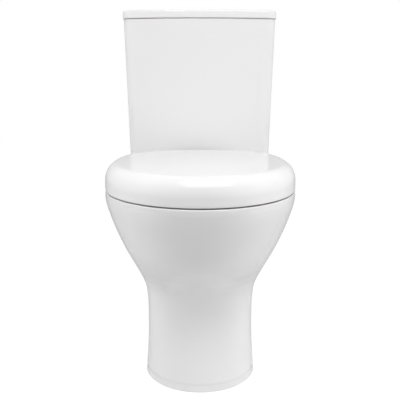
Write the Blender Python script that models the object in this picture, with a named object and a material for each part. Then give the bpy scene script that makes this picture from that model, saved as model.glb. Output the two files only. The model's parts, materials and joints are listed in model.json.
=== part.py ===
"""Close coupled toilet: pan, cistern, dual flush, fill valve and wrap-over seat.

Metres, +Z up. The front of the pan faces -Y and +X is the right side seen from the front. The origin is on
the floor, in the middle of the toilet's width and of its depth.
"""

from math import cos, pi, radians, sin

import bmesh
import bpy
from mathutils import Matrix, Vector

# ---------------------------------------------------------------- overall sizes
DEPTH = 0.625  # front of the rim to the back of the cistern
RIM_WIDTH = 0.360
RIM_HEIGHT = 0.400
TOTAL_HEIGHT = 0.769  # top of the cistern lid
FRONT = -DEPTH / 2
BACK = DEPTH / 2
GAP = 0.0003  # between pieces that rest on each other
FIT = 0.0004  # radial play of a pin or a tube in its hole

# ---------------------------------------------------------------- pan
CHINA = 0.011  # wall thickness of the vitreous china
RIM_WIDEST = FRONT + 0.225
PEDESTAL_HALF_WIDTH = 0.107
PEDESTAL_FRONT = FRONT + 0.168
PEDESTAL_WIDEST = FRONT + 0.274
BODY_BACK = FRONT + 0.480
BODY_REAR_HALF_WIDTH = 0.072
FOOT_FLARE = 0.006
FOOT_FLANGE_HEIGHT = 0.014
FOOT_FLANGE_HALF_WIDTH = 0.106
FLOOR_HOLE_RADIUS = 0.0045
FLOOR_HOLE_X = 0.089
FLOOR_HOLE_Y = BODY_BACK - 0.038
REAR_CORNER = 0.022
# (share of the height, share of the way from pedestal to rim at the side, and at the front)
PAN_SECTIONS = (
    (0.080, 0.060, 0.020),
    (0.280, 0.022, -0.010),
    (0.400, 0.030, 0.005),
    (0.480, 0.080, 0.050),
    (0.535, 0.175, 0.145),
    (0.590, 0.290, 0.305),
    (0.650, 0.420, 0.500),
    (0.720, 0.580, 0.685),
    (0.790, 0.723, 0.815),
    (0.860, 0.855, 0.908),
    (0.920, 0.948, 0.966),
    (0.955, 0.996, 0.990),
)
RIM_EDGE_RADIUS = 0.005
HOLLOW_FRONT_HEIGHT = 0.660  # share of the rim's height where the hollow in front ends
DECK_HALF_WIDTH = 0.108
DECK_BACK = BACK - 0.025
DECK_THICKNESS = 0.0155
DECK_WEB = 0.012
DECK_WEB_HEIGHT = 0.060
BOWL_RIM_WIDTH = 0.038
BOWL_BACK = FRONT + 0.352
CHANNEL_TOP = RIM_HEIGHT - 0.016
CHANNEL_HEIGHT = 0.026
CHANNEL_DEPTH = 0.012
# (share of the rim height, half width, front and back measured from the rim's front)
BOWL_SECTIONS = (
    (0.760, 0.126, 0.066, 0.345),
    (0.640, 0.104, 0.102, 0.337),
    (0.510, 0.076, 0.180, 0.326),
    (0.390, 0.052, 0.206, 0.316),
    (0.300, 0.038, 0.224, 0.304),
    (0.245, 0.024, 0.238, 0.290),
)

# ---------------------------------------------------------------- trapway and spigot
TRAP_RADIUS = 0.027
TRAP_START = FRONT + 0.262
TRAP_FLOOR_Z = 0.122
TRAP_RUN = 0.038
TRAP_RISE_ANGLE = radians(65)
TRAP_RISE = 0.055
TRAP_FALL_ANGLE = radians(40)
TRAP_BEND = 0.050
TRAP_CROWN_BEND = 0.042
SPIGOT_HEIGHT = 0.185
SPIGOT_RADIUS = 0.051
SPIGOT_BORE = 0.0425
SPIGOT_END = BODY_BACK + 0.060

# ---------------------------------------------------------------- cistern
CISTERN_TOP = TOTAL_HEIGHT - 0.021
CISTERN_LIFT = 0.012  # height of its underside over the deck
CISTERN_BOTTOM = RIM_HEIGHT + CISTERN_LIFT
CISTERN_TOP_HALF_WIDTH = 0.1758
CISTERN_BOTTOM_HALF_WIDTH = 0.1678
CISTERN_FRONT = FRONT + 0.4675
CISTERN_FRONT_TAPER = 0.012
CISTERN_BOW = 0.015
CISTERN_CORNER = 0.018
CISTERN_WALL = 0.009
CISTERN_FLOOR = 0.010
CISTERN_FOOT_RADIUS = 0.012
VALVE_Y = (CISTERN_FRONT + BACK) / 2
WALL_HOLE_RADIUS = 0.005
WALL_HOLE_X = 0.110
WALL_HOLE_DROP = 0.045  # below the cistern's top

# ---------------------------------------------------------------- cistern lid
LID_OVERHANG = 0.0022
LID_THICKNESS = 0.009
LID_DOME = 0.002
LID_EDGE_RADIUS = 0.004
LID_LIP_DROP = 0.008
LID_LIP_WIDTH = 0.006
LID_SEAT_GAP = 0.0006

# ---------------------------------------------------------------- flush valve
VALVE_TAIL_RADIUS = 0.0285
VALVE_TAIL_LENGTH = 0.022  # below the cistern's underside
VALVE_BORE = VALVE_TAIL_RADIUS - 0.0045
VALVE_FLANGE_RADIUS = VALVE_TAIL_RADIUS + 0.0085
VALVE_FLANGE = 0.008
WASHER = 0.003
BACKNUT = 0.008
BACKNUT_RADIUS = VALVE_TAIL_RADIUS + 0.006
CAGE_RADIUS = VALVE_FLANGE_RADIUS - 0.002
CAGE_WALL = 0.003
CAGE_REBATE = 0.003  # how far the cage stands below the flange's top
CAGE_HEIGHT = CISTERN_TOP - CISTERN_BOTTOM - 0.131
CAGE_WINDOWS = ((0.07, 0.37), (0.46, 0.78))  # shares of the cage's height
CAGE_WINDOW_HALF_WIDTH = 0.013
HEAD_THICKNESS = 0.005
HALF_FLOAT_HEIGHT = 0.54  # its underside, as a share of the cage's height
COLUMN_RADIUS = 0.0125
COLUMN_WALL = 0.0022
COLUMN_ABOVE_CAGE = 0.012
COLUMN_DISC_RADIUS = VALVE_BORE + 0.004
VALVE_SEAL = 0.003
LEVER_X = 0.012
LEVER_WIDTH = 0.008
LEVER_THICKNESS = 0.006
LEVER_PUSH_ARM = 0.020
LEVER_LIFT_ARM = CAGE_RADIUS - LEVER_PUSH_ARM  # puts the hooks behind the cage
LEVER_PIN_RADIUS = 0.002
LEVER_OVER_HEAD = 0.040  # pivot height over the cage's top
EAR_THICKNESS = 0.004

# ---------------------------------------------------------------- pan to cistern coupling
SEAL_RADIUS = BACKNUT_RADIUS + 0.0115
INLET_RADIUS = VALVE_BORE + 0.003
INLET_RECESS_RADIUS = SEAL_RADIUS + 0.002
INLET_RECESS = 0.013
DUCT_BORE = 0.0125
DUCT_WALL = 0.009
COUPLING_PLATE_THICKNESS = 0.0025
COUPLING_PLATE_HALF_WIDTH = 0.024
COUPLING_BOLT_X = 0.075
COUPLING_BOLT_RADIUS = 0.003
COUPLING_HOLE_RADIUS = 0.0055

# ---------------------------------------------------------------- flush buttons
BEZEL_HOLE_RADIUS = 0.0212
BEZEL_RECESS_RADIUS = 0.033
BEZEL_RECESS = 0.0055
BEZEL_RADIUS = 0.027
BEZEL_FLANGE = 0.0035
BEZEL_TUBE_RADIUS = 0.0205
BEZEL_TUBE_WALL = 0.0018
BEZEL_TUBE_LENGTH = 0.026
BUTTON_HEIGHT = 0.008
BUTTON_SPLIT_X = -0.0035
BUTTON_SPLIT_GAP = 0.0008
BUTTON_SINK = 0.0012
ROD_RADIUS = 0.0025

# ---------------------------------------------------------------- fill valve
SHANK_RADIUS = 0.0103
FILL_X = -(DECK_HALF_WIDTH + SHANK_RADIUS - GAP)  # the shank passes beside the deck
FILL_Y = VALVE_Y
SHANK_LENGTH = 0.040
FILL_NUT_RADIUS = SHANK_RADIUS + 0.0067
SHANK_BORE = 0.006
FILL_TUBE_RADIUS = 0.011
FILL_FLANGE_RADIUS = 0.019
FILL_HEIGHT = CISTERN_TOP - CISTERN_BOTTOM - 0.086
FILL_HEAD_RADIUS = 0.022
FILL_HEAD = 0.028
FILL_LEVER_OVER_HEAD = 0.006
FLOAT_RADIUS = 0.030
FLOAT_HEIGHT = 0.045
FLOAT_WALL = 0.003
FLOAT_REST = FILL_HEIGHT - 0.100  # float's underside over the cistern floor
FLOAT_ARM = 0.045

# ---------------------------------------------------------------- seat
SEAT_BACK = FRONT + 0.439
SEAT_SQUARENESS = 3.2
LID_EDGE_Z = RIM_HEIGHT + 0.0030
LID_TOP_FRONT = RIM_HEIGHT + 0.0490
LID_TOP_BACK = RIM_HEIGHT + 0.0540
LID_ROUND = 0.017
SEAT_WALL = 0.005
LID_REAR_LIFT = 0.014  # how far the edge rises towards the hinge
LID_REAR_LIFT_FROM = SEAT_BACK - 0.070
RING_CLEARANCE = 0.0025  # ring to the lid's inner wall
RING_BOTTOM = RIM_HEIGHT + 0.008
RING_TOP = RIM_HEIGHT + 0.030
RING_BACK = FRONT + 0.404
OPENING_HALF_WIDTH = 0.108
OPENING_FRONT = FRONT + 0.066
OPENING_BACK = FRONT + 0.335
HINGE_Y = FRONT + 0.419
HINGE_Z = RIM_HEIGHT + 0.027
HINGE_X = 0.0775
HINGE_BOSS_RADIUS = 0.0075
HINGE_BOSS_WIDTH = 0.020
HINGE_PIN_RADIUS = 0.004
HINGE_LUG = 0.008
HINGE_SIDE_GAP = 0.0005
HINGE_TO_LUG = HINGE_BOSS_WIDTH / 2 + HINGE_SIDE_GAP  # from the post's middle to the lug beside it
HINGE_BASE_RADIUS = 0.016
HINGE_BASE = 0.004
GASKET = 0.0012
HINGE_STUD_RADIUS = 0.004
HINGE_HOLE_RADIUS = 0.007
HINGE_STUD_DEPTH = 0.010
HINGE_NUT_RADIUS = 0.013
HINGE_NUT = 0.012
HINGE_NOTCH = HINGE_X + 0.028
BUFFER_RADIUS = 0.008
LID_BUFFER_X = 0.085
LID_BUFFER_Y = FRONT + 0.075

# ---------------------------------------------------------------- fineness of the meshes
FRONT_POINTS = 7
SIDE_POINTS = 4
CORNER_POINTS = 2
BOWL_POINTS = 24
SEAT_POINTS = 36
TRAP_POINTS = 12
ROUND_POINTS = 16
WIDE_ROUND_POINTS = 24

COLOURS = {
    "china": ((0.93, 0.93, 0.92), 0.06, 0.0),
    "seat_plastic": ((0.94, 0.94, 0.94), 0.12, 0.0),
    "valve_plastic": ((0.85, 0.86, 0.86), 0.35, 0.0),
    "blue_plastic": ((0.10, 0.28, 0.55), 0.35, 0.0),
    "chrome": ((0.80, 0.80, 0.82), 0.08, 1.0),
    "steel": ((0.55, 0.56, 0.57), 0.35, 1.0),
    "brass": ((0.70, 0.55, 0.28), 0.30, 1.0),
    "rubber": ((0.04, 0.04, 0.04), 0.80, 0.0),
    "soft_white": ((0.80, 0.80, 0.80), 0.55, 0.0),
}


# ================================================================ building blocks
def clear_scene():
    for obj in list(bpy.data.objects):
        bpy.data.objects.remove(obj, do_unlink=True)


def material(name):
    if name in bpy.data.materials:
        return bpy.data.materials[name]
    colour, roughness, metallic = COLOURS[name]
    made = bpy.data.materials.new(name)
    made.use_nodes = True
    shader = made.node_tree.nodes["Principled BSDF"]
    shader.inputs["Base Color"].default_value = (*colour, 1.0)
    shader.inputs["Roughness"].default_value = roughness
    shader.inputs["Metallic"].default_value = metallic
    made.diffuse_color = (*colour, 1.0)
    return made


def add_object(name, bm, finish=None):
    """A mesh object from bm; without a finish it is a cutter or another helper."""
    bmesh.ops.recalc_face_normals(bm, faces=bm.faces)
    mesh = bpy.data.meshes.new(name)
    bm.to_mesh(mesh)
    bm.free()
    obj = bpy.data.objects.new(name, mesh)
    bpy.context.scene.collection.objects.link(obj)
    if finish:
        mesh.materials.append(material(finish))
        mesh.shade_smooth()
        mesh.set_sharp_from_angle(angle=radians(35))
    else:
        obj.hide_render = True
        obj.display_type = "WIRE"
    return obj


def loft(name, rings, finish=None, endless=False):
    """Bridges rings of equally many points. The first and last ring are closed with a face, or joined."""
    bm = bmesh.new()
    rows = [[bm.verts.new(point) for point in ring] for ring in rings]
    count = len(rows[0])
    pairs = list(zip(rows, rows[1:]))
    if endless:
        pairs.append((rows[-1], rows[0]))
    else:
        bm.faces.new(rows[0])
        bm.faces.new(rows[-1])
    for low, high in pairs:
        for i in range(count):
            j = (i + 1) % count
            bm.faces.new((low[i], low[j], high[j], high[i]))
    return add_object(name, bm, finish)


def circle(radius, place, points=ROUND_POINTS, axis="Z"):
    """A ring of points about an axis through place; place is its centre."""
    ring = []
    for i in range(points):
        angle = 2 * pi * i / points
        u, v = radius * cos(angle), radius * sin(angle)
        offset = {"X": (0, u, v), "Y": (v, 0, u), "Z": (u, v, 0)}[axis]
        ring.append(Vector(place) + Vector(offset))
    return ring


def turned(name, profile, centre, finish=None, bored=False, points=ROUND_POINTS):
    """A solid turned about the vertical axis at centre (x, y), from (radius, z) pairs.

    A bored solid's profile goes right round its wall; a plain one's goes from one end face to the other.
    """
    rings = [circle(radius, (*centre, z), points) for radius, z in profile]
    return loft(name, rings, finish, endless=bored)


def cross_rod(name, radius, start_x, end_x, y, z, finish=None, points=ROUND_POINTS):
    """A rod along X."""
    rings = [circle(radius, (x, y, z), points, "X") for x in (start_x, end_x)]
    return loft(name, rings, finish)


def box(name, low, high, finish=None):
    corners = ((low[0], low[1]), (high[0], low[1]), (high[0], high[1]), (low[0], high[1]))
    rings = [[Vector((x, y, z)) for x, y in corners] for z in (low[2], high[2])]
    return loft(name, rings, finish)


def hexagon(name, radius, bore, centre, low, high, finish):
    """A hexagonal nut or head. The flats of its twelve-sided bore lie at the bore's radius."""
    outside = [circle(radius, (*centre, z), 12) for z in (low, high)]
    for ring in outside:
        for i in range(1, 12, 2):
            ring[i] = (ring[i - 1] + ring[(i + 1) % 12]) / 2
    if not bore:
        return loft(name, outside, finish)
    inside = [circle(bore / cos(pi / 12), (*centre, z), 12) for z in (high, low)]
    return loft(name, outside + inside, finish, endless=True)


def boolean(obj, other, operation):
    """The pan's many crossing walls need the MANIFOLD solver; EXACT leaves slivers open there."""
    modifier = obj.modifiers.new(f"{operation.lower()} {other.name}", "BOOLEAN")
    modifier.operation = operation
    modifier.solver = "MANIFOLD" if obj.name == "pan" else "EXACT"
    modifier.object = other


def cut(obj, *cutters):
    for cutter in cutters:
        boolean(obj, cutter, "DIFFERENCE")


def join(obj, *others):
    for other in others:
        boolean(obj, other, "UNION")


def pivot(name, place, parent=None):
    """An empty on a joint's axis."""
    empty = bpy.data.objects.new(name, None)
    empty.location = place
    bpy.context.scene.collection.objects.link(empty)
    if parent:
        attach(empty, parent)
    return empty


def attach(obj, parent):
    """Parents obj and leaves it where it is. The pivots are never turned, so their place is all it takes."""
    bpy.context.view_layer.update()
    obj.parent = parent
    obj.matrix_parent_inverse = parent.matrix_world.inverted()


def mirrored_half(half):
    """A closed ring from the points of its +X half, which starts and ends on the middle line."""
    return half + [(-x, y) for x, y in reversed(half[1:-1])]


def flat(outline, z):
    return [Vector((x, y, z)) for x, y in outline]


# ================================================================ outlines seen from above
def body_outline(half_width, front, widest, back, rear_half_width, corner=REAR_CORNER):
    """The pan: a half ellipse in front, sides that draw in, and a square back with round corners."""
    half = []
    for i in range(FRONT_POINTS):
        angle = pi / 2 * i / FRONT_POINTS
        half.append((half_width * sin(angle), widest - (widest - front) * cos(angle)))
    side_end = back - corner
    for i in range(SIDE_POINTS):
        share = i / SIDE_POINTS
        x = rear_half_width + (half_width - rear_half_width) * (1 + cos(pi * share)) / 2
        half.append((x, widest + (side_end - widest) * share))
    for i in range(CORNER_POINTS + 1):
        angle = pi / 2 * i / CORNER_POINTS
        half.append((rear_half_width - corner + corner * cos(angle), side_end + corner * sin(angle)))
    half.append((0, back))
    return mirrored_half(half)


def egg_outline(half_width, front, widest, back, squareness, points):
    """The seat and the bowl: a half ellipse in front and a half superellipse behind."""
    half = []
    for i in range(points // 2 + 1):
        angle = pi * i / (points // 2)
        if angle <= pi / 2:
            half.append((half_width * sin(angle), widest - (widest - front) * cos(angle)))
            continue
        x = half_width * max(sin(angle), 0.0) ** (2 / squareness)
        y = widest + (back - widest) * (-cos(angle)) ** (2 / squareness)
        half.append((x, y))
    half[-1] = (0.0, back)
    return mirrored_half(half)


def tank_outline(half_width, front, back, bow, corner, back_corner):
    """The cistern: a bowed front, round front corners and a flat back."""
    half = []
    side = half_width - corner
    for i in range(5):
        x = side * i / 5
        half.append((x, front + bow * (x / half_width) ** 2))
    corner_y = front + bow * (side / half_width) ** 2 + corner
    for i in range(CORNER_POINTS + 1):
        angle = pi / 2 * i / CORNER_POINTS
        half.append((side + corner * sin(angle), corner_y - corner * cos(angle)))
    for i in range(CORNER_POINTS + 1):
        angle = pi / 2 * i / CORNER_POINTS
        x = half_width - back_corner * (1 - cos(angle))
        half.append((x, back - back_corner * (1 - sin(angle))))
    half.append((0, back))
    return mirrored_half(half)


# ================================================================ pan
def pan_rings(inset=0.0, top=RIM_HEIGHT, bottom=0.0):
    """Rings of the pan's outside, foot to rim, or the same drawn in by inset for the hollow inside it."""
    rim_half = RIM_WIDTH / 2

    def ring(z, side, front, rear_half_width):
        half_width = PEDESTAL_HALF_WIDTH + side * (rim_half - PEDESTAL_HALF_WIDTH)
        front_y = PEDESTAL_FRONT + front * (FRONT - PEDESTAL_FRONT)
        share = min(max(side, 0.0), 1.0)
        widest = PEDESTAL_WIDEST + share * (RIM_WIDEST - PEDESTAL_WIDEST)
        outline = body_outline(
            half_width - inset, front_y + inset, widest, BODY_BACK - inset, rear_half_width - inset
        )
        return flat(outline, z)

    flare = FOOT_FLARE / (rim_half - PEDESTAL_HALF_WIDTH)
    flare_front = FOOT_FLARE / (PEDESTAL_FRONT - FRONT)
    foot_rear = BODY_REAR_HALF_WIDTH if inset else FOOT_FLANGE_HALF_WIDTH
    step = FOOT_FLANGE_HEIGHT + 0.0005
    rings = [ring(bottom, flare, flare_front, foot_rear)]
    rings.append(ring(FOOT_FLANGE_HEIGHT, flare, flare_front, foot_rear))
    rings.append(ring(step, flare, flare_front, BODY_REAR_HALF_WIDTH))
    for height, side, front in PAN_SECTIONS:
        rear = BODY_REAR_HALF_WIDTH + max(side, 0) * (DECK_HALF_WIDTH - BODY_REAR_HALF_WIDTH)
        if inset and height > HOLLOW_FRONT_HEIGHT:
            rings.append(chamber_ring(height * RIM_HEIGHT, rear, inset))
        else:
            rings.append(ring(height * RIM_HEIGHT, side, front, rear))
    if inset:
        rings[-1] = chamber_ring(top, DECK_HALF_WIDTH, inset)
        return rings
    for angle in (0, radians(45), radians(90)):
        drawn_in = RIM_EDGE_RADIUS * (1 - cos(angle))
        z = top - RIM_EDGE_RADIUS * (1 - sin(angle))
        outline = body_outline(
            rim_half - drawn_in,
            FRONT + drawn_in,
            RIM_WIDEST,
            BODY_BACK - drawn_in,
            DECK_HALF_WIDTH - drawn_in,
        )
        rings.append(flat(outline, z))
    return rings


def chamber_ring(z, rear_half_width, inset):
    """The hollow under the deck. In front of it the rim is solid about its channel."""
    half_width = rear_half_width - inset
    front = BOWL_BACK + CHANNEL_DEPTH + inset
    return flat(body_outline(half_width, front, front + 0.030, BODY_BACK - inset, half_width), z)


def bowl_rings(grow=0.0):
    """Rings of the space in the bowl, rim to sump, or the same grown for the wall about it."""
    rim_half = RIM_WIDTH / 2 - BOWL_RIM_WIDTH
    rim_front = FRONT + BOWL_RIM_WIDTH
    channel_bottom = CHANNEL_TOP - CHANNEL_HEIGHT
    top = RIM_HEIGHT - CHINA / 2 if grow else RIM_HEIGHT + CHINA
    heights = ((top, 0.0), (CHANNEL_TOP, 0.0))
    channel = ((CHANNEL_TOP, CHANNEL_DEPTH), (channel_bottom, CHANNEL_DEPTH), (channel_bottom - 0.004, 0.0))
    rings = []
    for z, out in heights + (() if grow else channel):
        wide = out + grow + (CHANNEL_DEPTH if grow else 0)
        outline = egg_outline(
            rim_half + wide, rim_front - wide, RIM_WIDEST - 0.02, BOWL_BACK + wide, 2.3, BOWL_POINTS
        )
        rings.append(flat(outline, z))
    if grow:
        rings.append(flat(outline, channel_bottom - 0.004))
    for height, half_width, front, back in BOWL_SECTIONS:
        middle = FRONT + (front + back) / 2
        outline = egg_outline(
            half_width + grow, FRONT + front - grow, middle, FRONT + back + grow, 2.0, BOWL_POINTS
        )
        rings.append(flat(outline, height * RIM_HEIGHT - grow * 0.6))
    return rings


def trap_path():
    """(y, z, heading) along the middle of the trapway: level, up, over the weir, down and level."""
    path = []

    def straight(length, steps):
        y, z, heading = path[-1]
        for i in range(1, steps + 1):
            along = length * i / steps
            path.append((y + along * cos(heading), z + along * sin(heading), heading))

    def bend(radius, turn, steps):
        y, z, heading = path[-1]
        side = 1 if turn > 0 else -1
        centre_y = y - side * radius * sin(heading)
        centre_z = z + side * radius * cos(heading)
        for i in range(1, steps + 1):
            now = heading + turn * i / steps
            path.append((centre_y + side * radius * sin(now), centre_z - side * radius * cos(now), now))

    path.append((TRAP_START, TRAP_FLOOR_Z, 0.0))
    straight(TRAP_RUN, 1)
    bend(TRAP_BEND, TRAP_RISE_ANGLE, 4)
    straight(TRAP_RISE, 1)
    bend(TRAP_CROWN_BEND, -TRAP_RISE_ANGLE - TRAP_FALL_ANGLE, 6)
    after_bend = path[-1][1] - TRAP_BEND * (1 - cos(TRAP_FALL_ANGLE))
    straight((after_bend - SPIGOT_HEIGHT) / sin(TRAP_FALL_ANGLE), 1)
    bend(TRAP_BEND, TRAP_FALL_ANGLE, 3)
    path.append((SPIGOT_END - 0.020, SPIGOT_HEIGHT, 0.0))
    path.append((SPIGOT_END, SPIGOT_HEIGHT, 0.0))
    return path


def tube_rings(path, radii, points):
    """Rings across a path in the plane x = 0."""
    rings = []
    for (y, z, heading), radius in zip(path, radii):
        ring = []
        for i in range(points):
            angle = 2 * pi * i / points
            up = radius * sin(angle)
            ring.append(Vector((radius * cos(angle), y - up * sin(heading), z + up * cos(heading))))
        rings.append(ring)
    return rings


def trap_radii(path, small, large):
    """The passage widens between the weir and the spigot."""
    widen_from = path[-7][0]
    widen_to = path[-3][0]
    radii = []
    for y, _, _ in path:
        share = min(max((y - widen_from) / (widen_to - widen_from), 0.0), 1.0)
        radii.append(small + (large - small) * share)
    return radii


def duct_path():
    """(y, z, heading) of the flush duct, which bends from the deck's inlet forward into the rim channel."""
    bend = DUCT_BORE + DUCT_WALL + 0.001
    level = CHANNEL_TOP - CHANNEL_HEIGHT / 2
    path = []
    for i in range(5):
        angle = pi / 2 * i / 4
        y = VALVE_Y - bend * (1 - cos(angle))
        z = level + bend * (1 - sin(angle))
        path.append((y, z, -pi / 2 - angle))
    return path


def make_pan():
    pan = loft("pan", pan_rings(), "china")
    hollow = loft("pan_hollow", pan_rings(CHINA, RIM_HEIGHT - CHINA, -0.010))
    bowl_wall = loft("bowl_wall", bowl_rings(CHINA))
    bowl_space = loft("bowl_space", bowl_rings())
    path = trap_path()
    trap_wall = loft(
        "trap_wall", tube_rings(path, trap_radii(path, TRAP_RADIUS + CHINA, SPIGOT_RADIUS), TRAP_POINTS)
    )
    beyond = path[:-1] + [(SPIGOT_END + 0.010, SPIGOT_HEIGHT, 0.0)]
    trap_bores = trap_radii(path, TRAP_RADIUS, SPIGOT_BORE)
    trap_space = loft("trap_space", tube_rings(beyond, trap_bores, TRAP_POINTS))

    shelf_front = BODY_BACK - 0.030
    shelf = box(
        "deck_shelf",
        (-DECK_HALF_WIDTH + 0.002, shelf_front, RIM_HEIGHT - DECK_THICKNESS),
        (DECK_HALF_WIDTH - 0.002, DECK_BACK, RIM_HEIGHT - 0.0002),
    )
    webs = []
    for side in (-1, 1):
        x = sorted((side * (DECK_HALF_WIDTH - 0.004), side * (DECK_HALF_WIDTH - 0.004 - DECK_WEB)))
        web_front = shelf_front + 0.005
        outline = (
            (web_front, RIM_HEIGHT - DECK_THICKNESS - DECK_WEB_HEIGHT),
            (BODY_BACK + 0.002, RIM_HEIGHT - DECK_THICKNESS - DECK_WEB_HEIGHT),
            (DECK_BACK - 0.006, RIM_HEIGHT - DECK_THICKNESS - 0.006),
            (DECK_BACK - 0.006, RIM_HEIGHT - 0.004),
            (web_front, RIM_HEIGHT - 0.004),
        )
        rings = [[Vector((across, y, z)) for y, z in outline] for across in x]
        webs.append(loft("deck_web", rings))

    duct = duct_path()
    level = duct[-1][1]
    duct_wall_path = duct + [(BOWL_BACK - 0.004, level, -pi)]
    duct_space_path = [(VALVE_Y, RIM_HEIGHT + 0.004, -pi / 2)] + duct + [(BOWL_BACK - 0.030, level, -pi)]
    duct_wall = loft("duct_wall", tube_rings(duct_wall_path, [DUCT_BORE + DUCT_WALL] * 6, TRAP_POINTS))
    duct_space = loft("duct_space", tube_rings(duct_space_path, [DUCT_BORE] * 7, TRAP_POINTS))
    inlet = turned(
        "inlet_recess",
        (
            (DUCT_BORE + 0.001, RIM_HEIGHT - INLET_RECESS - 0.012),
            (INLET_RADIUS, RIM_HEIGHT - INLET_RECESS - 0.006),
            (INLET_RADIUS, RIM_HEIGHT - INLET_RECESS),
            (INLET_RECESS_RADIUS, RIM_HEIGHT - INLET_RECESS),
            (INLET_RECESS_RADIUS, RIM_HEIGHT + 0.006),
        ),
        (0, VALVE_Y),
        points=WIDE_ROUND_POINTS,
    )
    inlet_wall = turned(
        "inlet_wall",
        (
            (INLET_RADIUS + 0.010, RIM_HEIGHT - INLET_RECESS - 0.018),
            (INLET_RECESS_RADIUS + 0.008, RIM_HEIGHT - INLET_RECESS - 0.008),
            (INLET_RECESS_RADIUS + 0.008, RIM_HEIGHT - 0.003),
        ),
        (0, VALVE_Y),
        points=WIDE_ROUND_POINTS,
    )
    cut(pan, hollow)
    join(pan, bowl_wall, trap_wall, shelf, *webs, duct_wall, inlet_wall)
    cut(pan, bowl_space, trap_space, duct_space, inlet)
    for side in (-1, 1):
        low, high = RIM_HEIGHT - 0.080, RIM_HEIGHT + 0.010
        bolt = turned(
            "coupling_hole",
            ((COUPLING_HOLE_RADIUS, low), (COUPLING_HOLE_RADIUS, high)),
            (side * COUPLING_BOLT_X, VALVE_Y),
            points=12,
        )
        hinge = turned(
            "hinge_hole",
            ((HINGE_HOLE_RADIUS, RIM_HEIGHT - 0.020), (HINGE_HOLE_RADIUS, high)),
            (side * HINGE_X, HINGE_Y),
            points=12,
        )
        screw = turned(
            "floor_hole",
            ((FLOOR_HOLE_RADIUS, -0.010), (FLOOR_HOLE_RADIUS, 0.030)),
            (side * FLOOR_HOLE_X, FLOOR_HOLE_Y),
            points=12,
        )
        cut(pan, bolt, hinge, screw)
    return pan


# ================================================================ cistern and its lid
def tank_ring(z, inset=0.0):
    share = (z - CISTERN_BOTTOM) / (CISTERN_TOP - CISTERN_BOTTOM)
    half_width = CISTERN_BOTTOM_HALF_WIDTH + share * (CISTERN_TOP_HALF_WIDTH - CISTERN_BOTTOM_HALF_WIDTH)
    front = CISTERN_FRONT + (1 - share) * CISTERN_FRONT_TAPER
    corner = max(CISTERN_CORNER - inset, 0.006)
    outline = tank_outline(
        half_width - inset, front + inset, BACK - inset, CISTERN_BOW, corner, max(0.010 - inset, 0.004)
    )
    return flat(outline, z)


def make_cistern():
    outside = []
    for angle in (0, radians(45), radians(90)):
        inset = CISTERN_FOOT_RADIUS * (1 - sin(angle))
        lifted = CISTERN_FOOT_RADIUS * (1 - cos(angle))
        ring = tank_ring(CISTERN_BOTTOM + CISTERN_FOOT_RADIUS, inset)
        outside.append([Vector((p.x, min(p.y, BACK), CISTERN_BOTTOM + lifted)) for p in ring])
    outside.append(tank_ring(CISTERN_TOP))
    inside = [tank_ring(CISTERN_TOP, CISTERN_WALL)]
    floor = CISTERN_BOTTOM + CISTERN_FLOOR
    inside.append(tank_ring(floor + 0.010, CISTERN_WALL))
    inside.append([Vector((p.x, p.y, floor)) for p in tank_ring(floor + 0.010, CISTERN_WALL + 0.010)])
    cistern = loft("cistern", outside + inside, "china")

    low, high = CISTERN_BOTTOM - 0.010, floor + 0.010
    holes = [
        ("valve_hole", VALVE_TAIL_RADIUS + 0.0015, 0.0, VALVE_Y),
        ("inlet_hole", SHANK_RADIUS + 0.0015, FILL_X, FILL_Y),
        ("left_bolt_hole", COUPLING_HOLE_RADIUS, -COUPLING_BOLT_X, VALVE_Y),
        ("right_bolt_hole", COUPLING_HOLE_RADIUS, COUPLING_BOLT_X, VALVE_Y),
    ]
    for name, radius, x, y in holes:
        points = WIDE_ROUND_POINTS if radius > 0.02 else 12
        cut(cistern, turned(name, ((radius, low), (radius, high)), (x, y), points=points))
    for side in (-1, 1):
        place_z = CISTERN_TOP - WALL_HOLE_DROP
        ends = (BACK - CISTERN_WALL - 0.010, BACK + 0.010)
        rings = [circle(WALL_HOLE_RADIUS, (side * WALL_HOLE_X, y, place_z), 12, "Y") for y in ends]
        cut(cistern, loft("wall_screw_hole", rings))
    return cistern


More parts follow.
